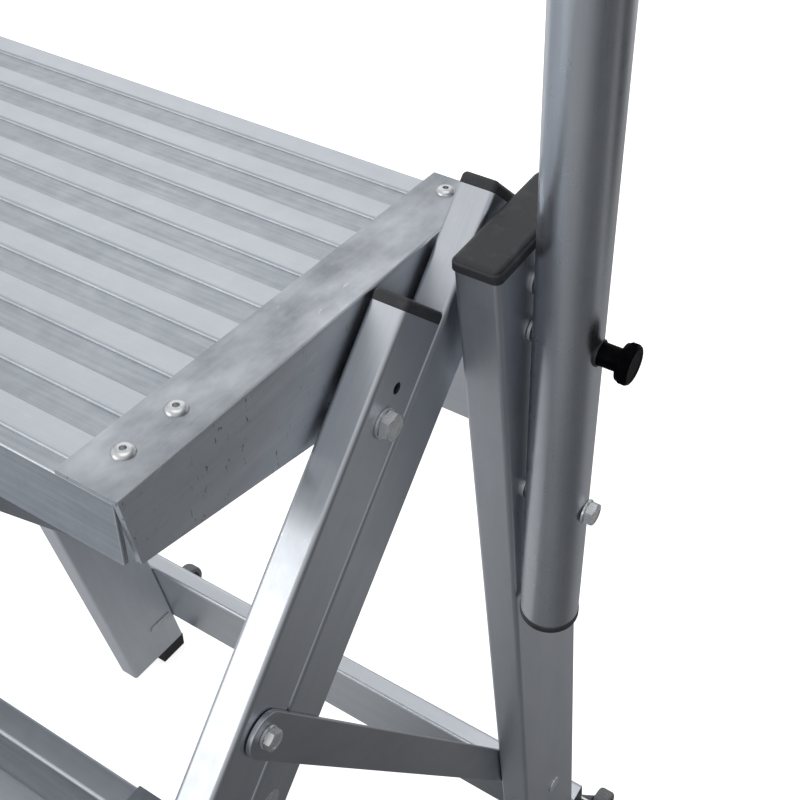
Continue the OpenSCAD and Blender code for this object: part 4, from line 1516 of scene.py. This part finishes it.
@dataclass(frozen=True)
class Bar:
    """Places along a front leg or link bar, from its deck pivot.

    The pivot is its place behind the row of rear pivots and its height, in metres.
    """

    pivot: tuple[float, float]
    middle: float = 0.237
    slope: float = math.radians(STEP_SLOPE)
    cap: CapPlate = CapPlate(width=20.0, length=40.0, thick=6.0, corner=3.0)

    def caps(self, *ends: tuple[float, bool]) -> Shell:
        """Caps on both sides.

        Args:
            ends: Each end's distance up from the pivot, in metres, and whether it's the top.

        Returns:
            One shell.
        """
        made = Shell()
        for side in SIDES:
            start = Vector((side * self.middle, ROW_Y + self.pivot[0], self.pivot[1]))
            for up, is_top in ends:
                place = Matrix.Translation(start) \
                    @ Matrix.Rotation(self.slope - math.pi / 2, 4, "X") \
                    @ Matrix.Translation((0, 0, up))
                if not is_top:
                    place = place @ Matrix.Rotation(math.pi, 4, "X")
                made.add(self.cap.shell(), place)
        return made


@dataclass
class FrontLegs:
    """Front legs with caps, feet, bolts, washers and nuts."""

    fasteners: Fasteners
    small: Fasteners
    body: str = "front_legs"
    bar: Bar = Bar((-0.0886, 0.826854))
    top: float = 0.051

    def build(self) -> None:
        """Builds the whole sub-assembly."""
        for side in ("right", "left"):
            node = f"front_leg_{side}"
            cast(f"{node}_tube", node, ALU_BAR, self.body, width_mm=0.3)
        show("front_leg_end_caps", self.bar.caps((self.top, True)).mesh("caps"), CAP,
             self.body, "front_leg_caps")
        cast("front_foot_pads", "front_feet", RUBBER, self.body, width_mm=1.2, segments=3)
        self.fasteners.bolts("front_leg_bolts", "front_bolts", self.body, seed=5)
        self.fasteners.washers("front_leg_washers", "front_washers", self.body)
        self.fasteners.nuts("front_leg_nuts", "front_nuts", self.body, seed=9)
        self.small.nuts("brace_bolt_nuts", "front_nuts", self.body, seed=10)


@dataclass
class LinkBars:
    """Link bars with their end caps."""

    body: str = "link_bars"
    bar: Bar = Bar((0.0, 0.8676))
    top: float = 0.029
    tail: float = 0.900564

    def build(self) -> None:
        """Builds the whole sub-assembly."""
        for side in ("right", "left"):
            node = f"link_bar_{side}"
            cast(f"{node}_tube", node, ALU_BAR, self.body, width_mm=0.3)
        caps = self.bar.caps((self.top, True), (-self.tail, False))
        show("link_bar_end_caps", caps.mesh("caps"), CAP, self.body, "link_bar_caps")


@dataclass
class Braces:
    """The flat braces and their bolts."""

    fasteners: Fasteners
    body: str = "braces"
    washer_t: float = 1.6
    washer_at: float = 3.0

    def build(self) -> None:
        """Builds the whole sub-assembly."""
        for side in ("right", "left"):
            node = f"brace_{side}"
            cast(f"{node}_strip", node, STEEL_BRACE, self.body, width_mm=0.5, segments=3)
        shell = self.fasteners.bolt_shell(self.fasteners.depth("brace_bolts"))
        shell.add(self.fasteners.washer_shell(self.washer_t),
                  Matrix.Translation((0, 0, self.washer_at * MM)))
        mesh = self.fasteners.shop.repeated.on_spots(
            shell, self.fasteners.spots("brace_bolts"), STEEL_FASTENER, spin=1.0, seed=15)
        show("brace_pivot_bolts", mesh, STEEL_FASTENER, self.body, "brace_bolts")


@dataclass
class Handrail:
    """The bent handrail tube with its end caps, spacers and bushes."""

    shop: Workshop
    body: str = "handrail"
    lean: float = math.radians(RAIL_LEAN)
    pivot: tuple[float, float] = (ROW_Y + 0.0124, 0.722)
    tail: float = 0.098
    half: float = 0.2945
    above_deck: float = 0.52
    radius: float = 0.0175
    bend: float = 0.09

    def at(self, x: float, up: float) -> Vector:
        """A point on the posts' plane."""
        return Vector((x, self.pivot[0] - up * math.sin(self.lean),
                       self.pivot[1] + up * math.cos(self.lean)))

    def build(self) -> None:
        """Builds the whole sub-assembly."""
        top = (DECK_TOP + self.above_deck - self.pivot[1]) / math.cos(self.lean) - self.radius
        path = bpy.data.meshes.new("rail_path")
        path.from_pydata([self.at(self.half, -self.tail), self.at(self.half, top),
                          self.at(-self.half, top), self.at(-self.half, -self.tail)],
                         [(0, 1), (1, 2), (2, 3)], [])
        tube = self.shop.swept.grow(path, ALU_RAIL, Bend=self.bend, Radius=self.radius)
        show("handrail_tube", tube, ALU_RAIL, self.body, "handrail")
        cast("handrail_tube_caps", "handrail_end_caps", CAP, self.body, width_mm=1.4, segments=4)
        cast("rail_lock_rings", "rail_lock_spacers", STEEL_FASTENER, self.body, width_mm=0.2)
        bushes = from_cad("plunger_bushes", width_mm=0.2)
        show("plunger_guide_bushes", joined(bushes, self.lips()), BUSH, self.body,
             "plunger_bushes")

    def lips(self) -> bpy.types.Mesh:
        """The thin lips round the plungers' necks where they leave the posts.

        Returns:
            One mesh for both sides.
        """
        both = Shell()
        lip = Shell().lathe([(-2.4, 6.15), (-2.4, 6.4), (-1.3, 6.4), (-0.9, 7.1), (0.1, 7.1),
                             (0.4, 6.8), (0.4, 6.15)], steps=40, loop=True)
        low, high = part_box("plunger_bushes")
        for side in SIDES:
            at = Vector((side * (self.half + self.radius), (low.y + high.y) / 2,
                         (low.z + high.z) / 2))
            both.add(lip, facing(side, at))
        return both.mesh("lips")


@dataclass
class Plungers:
    """The two locking plungers, each on its own body. Sizes are in mm."""

    shop: Workshop
    pin_r: float = 3.0
    head_r: float = 10.5
    head_t: float = 5.4
    neck_r: float = 6.0
    neck_l: float = 24.7
    collar_r: float = 9.7
    collar_t: float = 1.4
    teeth: int = 52
    tooth_r: float = 0.46

    def one(self, side: int, name: str) -> None:
        """Builds one plunger.

        Args:
            side: 1 for the right, -1 for the left.
            name: The body's and node's name.
        """
        low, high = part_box(name)
        middle = (low + high) / 2
        outer = max(abs(low.x), abs(high.x)) / MM
        start = min(abs(low.x), abs(high.x)) / MM
        length = outer - start
        head = length - self.head_t
        collar = head - self.collar_t
        neck_from = collar - self.neck_l
        r = self.head_r - 0.4
        shell = Shell().lathe([(0, self.pin_r - 0.6), (0.6, self.pin_r),
                               (neck_from, self.pin_r), (neck_from, self.neck_r),
                               (collar, self.neck_r), (collar, self.collar_r - 0.8),
                               (collar + 0.25, self.collar_r - 0.25),
                               (collar + 0.8, self.collar_r), (head - 0.2, self.collar_r),
                               (head + 0.4, r), (length - 1.0, r), (length - 0.35, r - 0.3),
                               (length, r - 1.0), (length, 7.2), (length - 0.2, 6.9)], steps=64)
        teeth = self.shop.knurled.grow(bpy.data.meshes.new("seed"), KNOB, Teeth=self.teeth,
                                       Radius=(r - 0.1) * MM, Tooth=self.tooth_r * MM,
                                       Length=(self.head_t - 1.9) * MM)
        teeth.transform(Matrix.Translation((0, 0, (head + self.head_t / 2 - 0.3) * MM)))
        mesh = joined(shell.mesh("plunger"), teeth)
        mesh.transform(facing(side, Vector((side * start * MM, middle.y, middle.z))))
        show(f"{name}_pull_knob", mesh, KNOB, name, name)

    def build(self) -> None:
        """Builds both plungers."""
        for side, name in zip(SIDES, ("plunger_right", "plunger_left")):
            self.one(side, name)


@dataclass
class Wheels:
    """The two transport wheels, each with a tyre and a hub. Sizes are in mm."""

    shop: Workshop
    radius: float = 20.0
    width: float = 15.0
    bore: float = 3.05
    boss_r: float = 7.2
    rim_r: float = 14.2
    ribs: int = 30
    rib_r: float = 0.74
    spokes: int = 6
    spoke_half: float = 0.9

    def one(self, side: int, name: str) -> None:
        """Builds one wheel.

        Args:
            side: 1 for the right, -1 for the left.
            name: The body's and node's name.
        """
        low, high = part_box(name)
        middle = (low + high) / 2
        half, outer = self.width / 2, self.radius
        tyre = Shell().lathe([(-half + 0.6, 13.9), (-half, 14.6), (-half, outer - 2.2),
                              (-half + 0.7, outer - 0.9), (-half + 2.2, outer - 0.35),
                              (half - 2.2, outer - 0.35), (half - 0.7, outer - 0.9),
                              (half, outer - 2.2), (half, 14.6), (half - 0.6, 13.9)], steps=72,
                             loop=True)
        ribs = self.shop.knurled.grow(bpy.data.meshes.new("seed"), TYRE, Teeth=self.ribs,
                                      Radius=(outer - 0.75) * MM, Tooth=self.rib_r * MM,
                                      Length=(self.width - 4.4) * MM)
        boss, rim = self.boss_r, self.rim_r
        hub = Shell().lathe([(-half + 2, self.bore), (-half, self.bore), (-half, boss - 0.6),
                             (-half + 0.6, boss), (-half + 2, boss), (-half + 2, rim),
                             (half - 2, rim), (half - 2, boss), (half - 0.6, boss),
                             (half, boss - 0.6), (half, self.bore)], steps=56, loop=True)
        flank = self.spoke_half
        section = ((boss - 0.4, -flank), (rim - 0.1, -flank), (rim - 0.1, flank),
                   (boss - 0.4, flank))
        spoke = Shell().rings([[Vector((x, y, z)) * MM for x, y in section]
                               for z in (-half + 0.7, half - 0.7)])
        for turn in range(self.spokes):
            hub.add(spoke, Matrix.Rotation(2 * math.pi * turn / self.spokes, 4, "Z"))
        place = facing(side, middle)
        for part, finish, mesh in (("tyre", TYRE, joined(tyre.mesh("tyre"), ribs)),
                                   ("hub", HUB, soften(hub.mesh("hub"), width_mm=0.25))):
            mesh.transform(place)
            show(f"{name}_{part}", mesh, finish, name, name)

    def build(self) -> None:
        """Builds both wheels."""
        for side, name in zip(SIDES, ("wheel_right", "wheel_left")):
            self.one(side, name)


# Studio

@dataclass(frozen=True)
class Softbox:
    """A soft rectangular lamp that the camera doesn't see."""

    name: str
    place: tuple[float, float, float]
    target: tuple[float, float, float]
    size: tuple[float, float]
    power: float

    def light(self) -> None:
        """Hangs the lamp."""
        lamp = bpy.data.lights.new(self.name, "AREA")
        lamp.shape = "RECTANGLE"
        lamp.size, lamp.size_y = self.size
        lamp.energy = self.power
        held = linked(self.name, lamp)
        held.location = self.place
        aim = Vector(self.target) - Vector(self.place)
        held.rotation_mode = "QUATERNION"
        held.rotation_quaternion = aim.to_track_quat("-Z", "Y")
        held.visible_camera = False


@dataclass
class Studio:
    """Floor, lamps, surroundings and the camera, which stands where the photograph's stood."""

    floor_half: float = 9.0
    floor_glow: float = 0.45
    sky_glow: float = 0.9
    eye: tuple[float, float, float] = (0.48356, -0.17867, 1.2)
    right: tuple[float, float, float] = (0.83588001, 0.54877877, 0.01210211)
    down: tuple[float, float, float] = (0.36144782, -0.5336838, -0.76455024)
    ahead: tuple[float, float, float] = (-0.41311024, 0.64344655, -0.64445052)
    lens: float = 55.61
    boxes: tuple[Softbox, ...] = (
        Softbox("Key", place=(-1.55, -2.75, 1.75), target=(0.1, 0.2, 0.7), size=(2.4, 1.3),
                power=15.0),
        Softbox("Rear fill", place=(-1.6, 2.4, 2.6), target=(0.0, 0.1, 0.8), size=(2.2, 1.6),
                power=5.0),
        Softbox("Overhead", place=(0.2, 0.2, 3.4), target=(0.1, 0.1, 0.0), size=(2.0, 2.0),
                power=9.0),
    )

    @staticmethod
    def patches(recipe: Recipe) -> tuple[Wire, Wire]:
        """Places on the floor that metal mirrors bright or dark, with their reach in metres.

        Args:
            recipe: The floor's recipe.

        Returns:
            The share of light, and the dark corner behind the stool's right side.
        """
        spots = recipe.node("ShaderNodeSeparateXYZ", None, {0: recipe.place})
        x, y = recipe.wire(spots, "X"), recipe.wire(spots, "Y")
        left = (0 - x).between(-0.2, 0.05) * y.between(-0.5, -0.1)
        far_left = (0 - x).between(0.5, 1.1)
        rear = y.between(0.3, 0.95) * x.between(0.12, 0.34)
        far_rear = y.between(1.8, 3.5)
        corner = x.between(1.0, 1.5) * y.between(0.8, 1.3)
        light = left * 0.5 + far_left * 0.8 + rear * 0.42 * (1 - corner) + 0.07 + far_rear * 0.8
        return light, corner

    def floor_finish(self) -> bpy.types.Material:
        """Makes the floor's material.

        Returns:
            White for the camera, and patches of light for what mirrors it.
        """
        black, faint = (0, 0, 0, 1), (0.03, 0.03, 0.03, 1)
        white, bright = (1, 1, 1, 1), (1.7, 1.7, 1.7, 1)
        pale, paler, dim = (0.90, 0.90, 0.90, 1), (0.93, 0.93, 0.935, 1), (0.45, 0.45, 0.455, 1)
        reflection_dark, reflection_pale = (0.11, 0.112, 0.117, 1), (0.42, 0.43, 0.44, 1)
        recipe = Recipe("Studio floor")
        grain = recipe.noise(recipe.lay((0, 0, 0), (1, 1, 1)), 60.0, 3.0)
        paths = recipe.node("ShaderNodeLightPath")
        mirrored = recipe.wire(paths, "Is Glossy Ray")
        seen = recipe.wire(paths, "Is Camera Ray")
        front_left = recipe.node("ShaderNodeVectorMath", {"operation": "DOT_PRODUCT"},
                                 {0: recipe.place, 1: (-0.7, -0.7, 0.0)})
        near = recipe.wire(front_left, "Value").between(-0.75, 0.5)
        light, corner = self.patches(recipe)
        # Glossy rays see a painted reflection: paler towards the front left, dark at the rear
        # right corner, with glowing patches of light.
        painted_reflection = recipe.blend(near, reflection_dark, reflection_pale)
        painted_reflection = recipe.blend(corner * 0.7, painted_reflection, black)
        plain = recipe.blend(seen, dim, recipe.blend(grain, pale, paler))
        recipe.dress(recipe.blend(mirrored, plain, painted_reflection), 0.9, grain, bump_mm=0.01)
        shine = recipe.blend(light, black, white)
        glow = recipe.blend(mirrored, faint, shine)
        recipe.feed(recipe.shader.inputs["Emission Color"], recipe.blend(seen, glow, bright))
        recipe.shader.inputs["Emission Strength"].default_value = self.floor_glow
        return recipe.material

    def floor(self) -> None:
        """Lays the floor."""
        half = self.floor_half
        mesh = bpy.data.meshes.new("floor")
        mesh.from_pydata([(-half, -half, 0), (half, -half, 0), (half, half, 0),
                          (-half, half, 0)], [], [(0, 1, 2, 3)])
        mesh.materials.append(self.floor_finish())
        floor = linked("studio_floor", mesh)

    def surroundings(self) -> None:
        """Sets the soft surroundings, paler at the front left and low behind the stool."""
        dark, pale, white = (0.10, 0.102, 0.107, 1), (0.80, 0.805, 0.81, 1), (1.1, 1.1, 1.1, 1)
        world = bpy.data.worlds.new("Studio")
        bpy.context.scene.world = world
        world.use_nodes = True
        sheet = Sheet(world.node_tree)
        way = sheet.node("ShaderNodeTexCoord").outputs["Generated"]
        front_left = sheet.node("ShaderNodeVectorMath", {"operation": "DOT_PRODUCT"},
                                {0: way, 1: (-0.62, -0.45, 0.64)})
        parts = sheet.node("ShaderNodeSeparateXYZ", None, {0: way})
        up = sheet.wire(parts, "Z")
        backdrop = sheet.wire(parts, "Y").between(0.45, 0.8) * up.between(-0.1, 0.05) \
            * (1 - up.between(0.2, 0.45))
        share = sheet.wire(front_left, "Value").between(-0.75, 0.9) + backdrop * 0.9
        seen = sheet.wire(sheet.node("ShaderNodeLightPath"), "Is Camera Ray")
        colour = sheet.blend(seen, sheet.blend(share, dark, pale), white)
        sky = sheet.node("ShaderNodeBackground", None,
                         {"Color": colour, "Strength": self.sky_glow})
        sheet.node("ShaderNodeOutputWorld", None, {"Surface": sky.outputs[0]})

    def camera(self) -> None:
        """Sets the camera at the photograph's view."""
        lens = bpy.data.cameras.new("View")
        lens.lens = self.lens
        lens.sensor_width = 36.0
        lens.clip_start, lens.clip_end = 0.01, 60.0
        held = linked("View", lens)
        across, up, back = Vector(self.right), -Vector(self.down), -Vector(self.ahead)
        turn = Matrix((across, up, back)).transposed().to_4x4()
        held.matrix_world = Matrix.Translation(self.eye) @ turn
        bpy.context.scene.camera = held

    def build(self) -> None:
        """Builds the studio."""
        self.floor()
        self.surroundings()
        self.camera()
        for box in self.boxes:
            box.light()
        settings = bpy.context.scene.view_settings
        settings.view_transform = "Standard"
        settings.look = "None"
        settings.exposure = 0.0
        settings.gamma = 1.0


def main() -> None:
    """Builds the studio and every sub-assembly."""
    logging.basicConfig(level=logging.INFO, format="%(name)s: %(message)s")
    Studio().build()
    shop = Workshop()
    fasteners = Fasteners(shop)
    small = Fasteners(shop, across_flats=10.0, head=4.08, bolt=6.0, washer=6.2, nut=5.0)
    for part in (RearFrame(shop, fasteners), Deck(shop, fasteners), Treads(shop, fasteners),
                 FrontLegs(fasteners, small), LinkBars(), Braces(small), Handrail(shop),
                 Plungers(shop), Wheels(shop)):
        part.build()


if __name__ == "__main__":
    main()
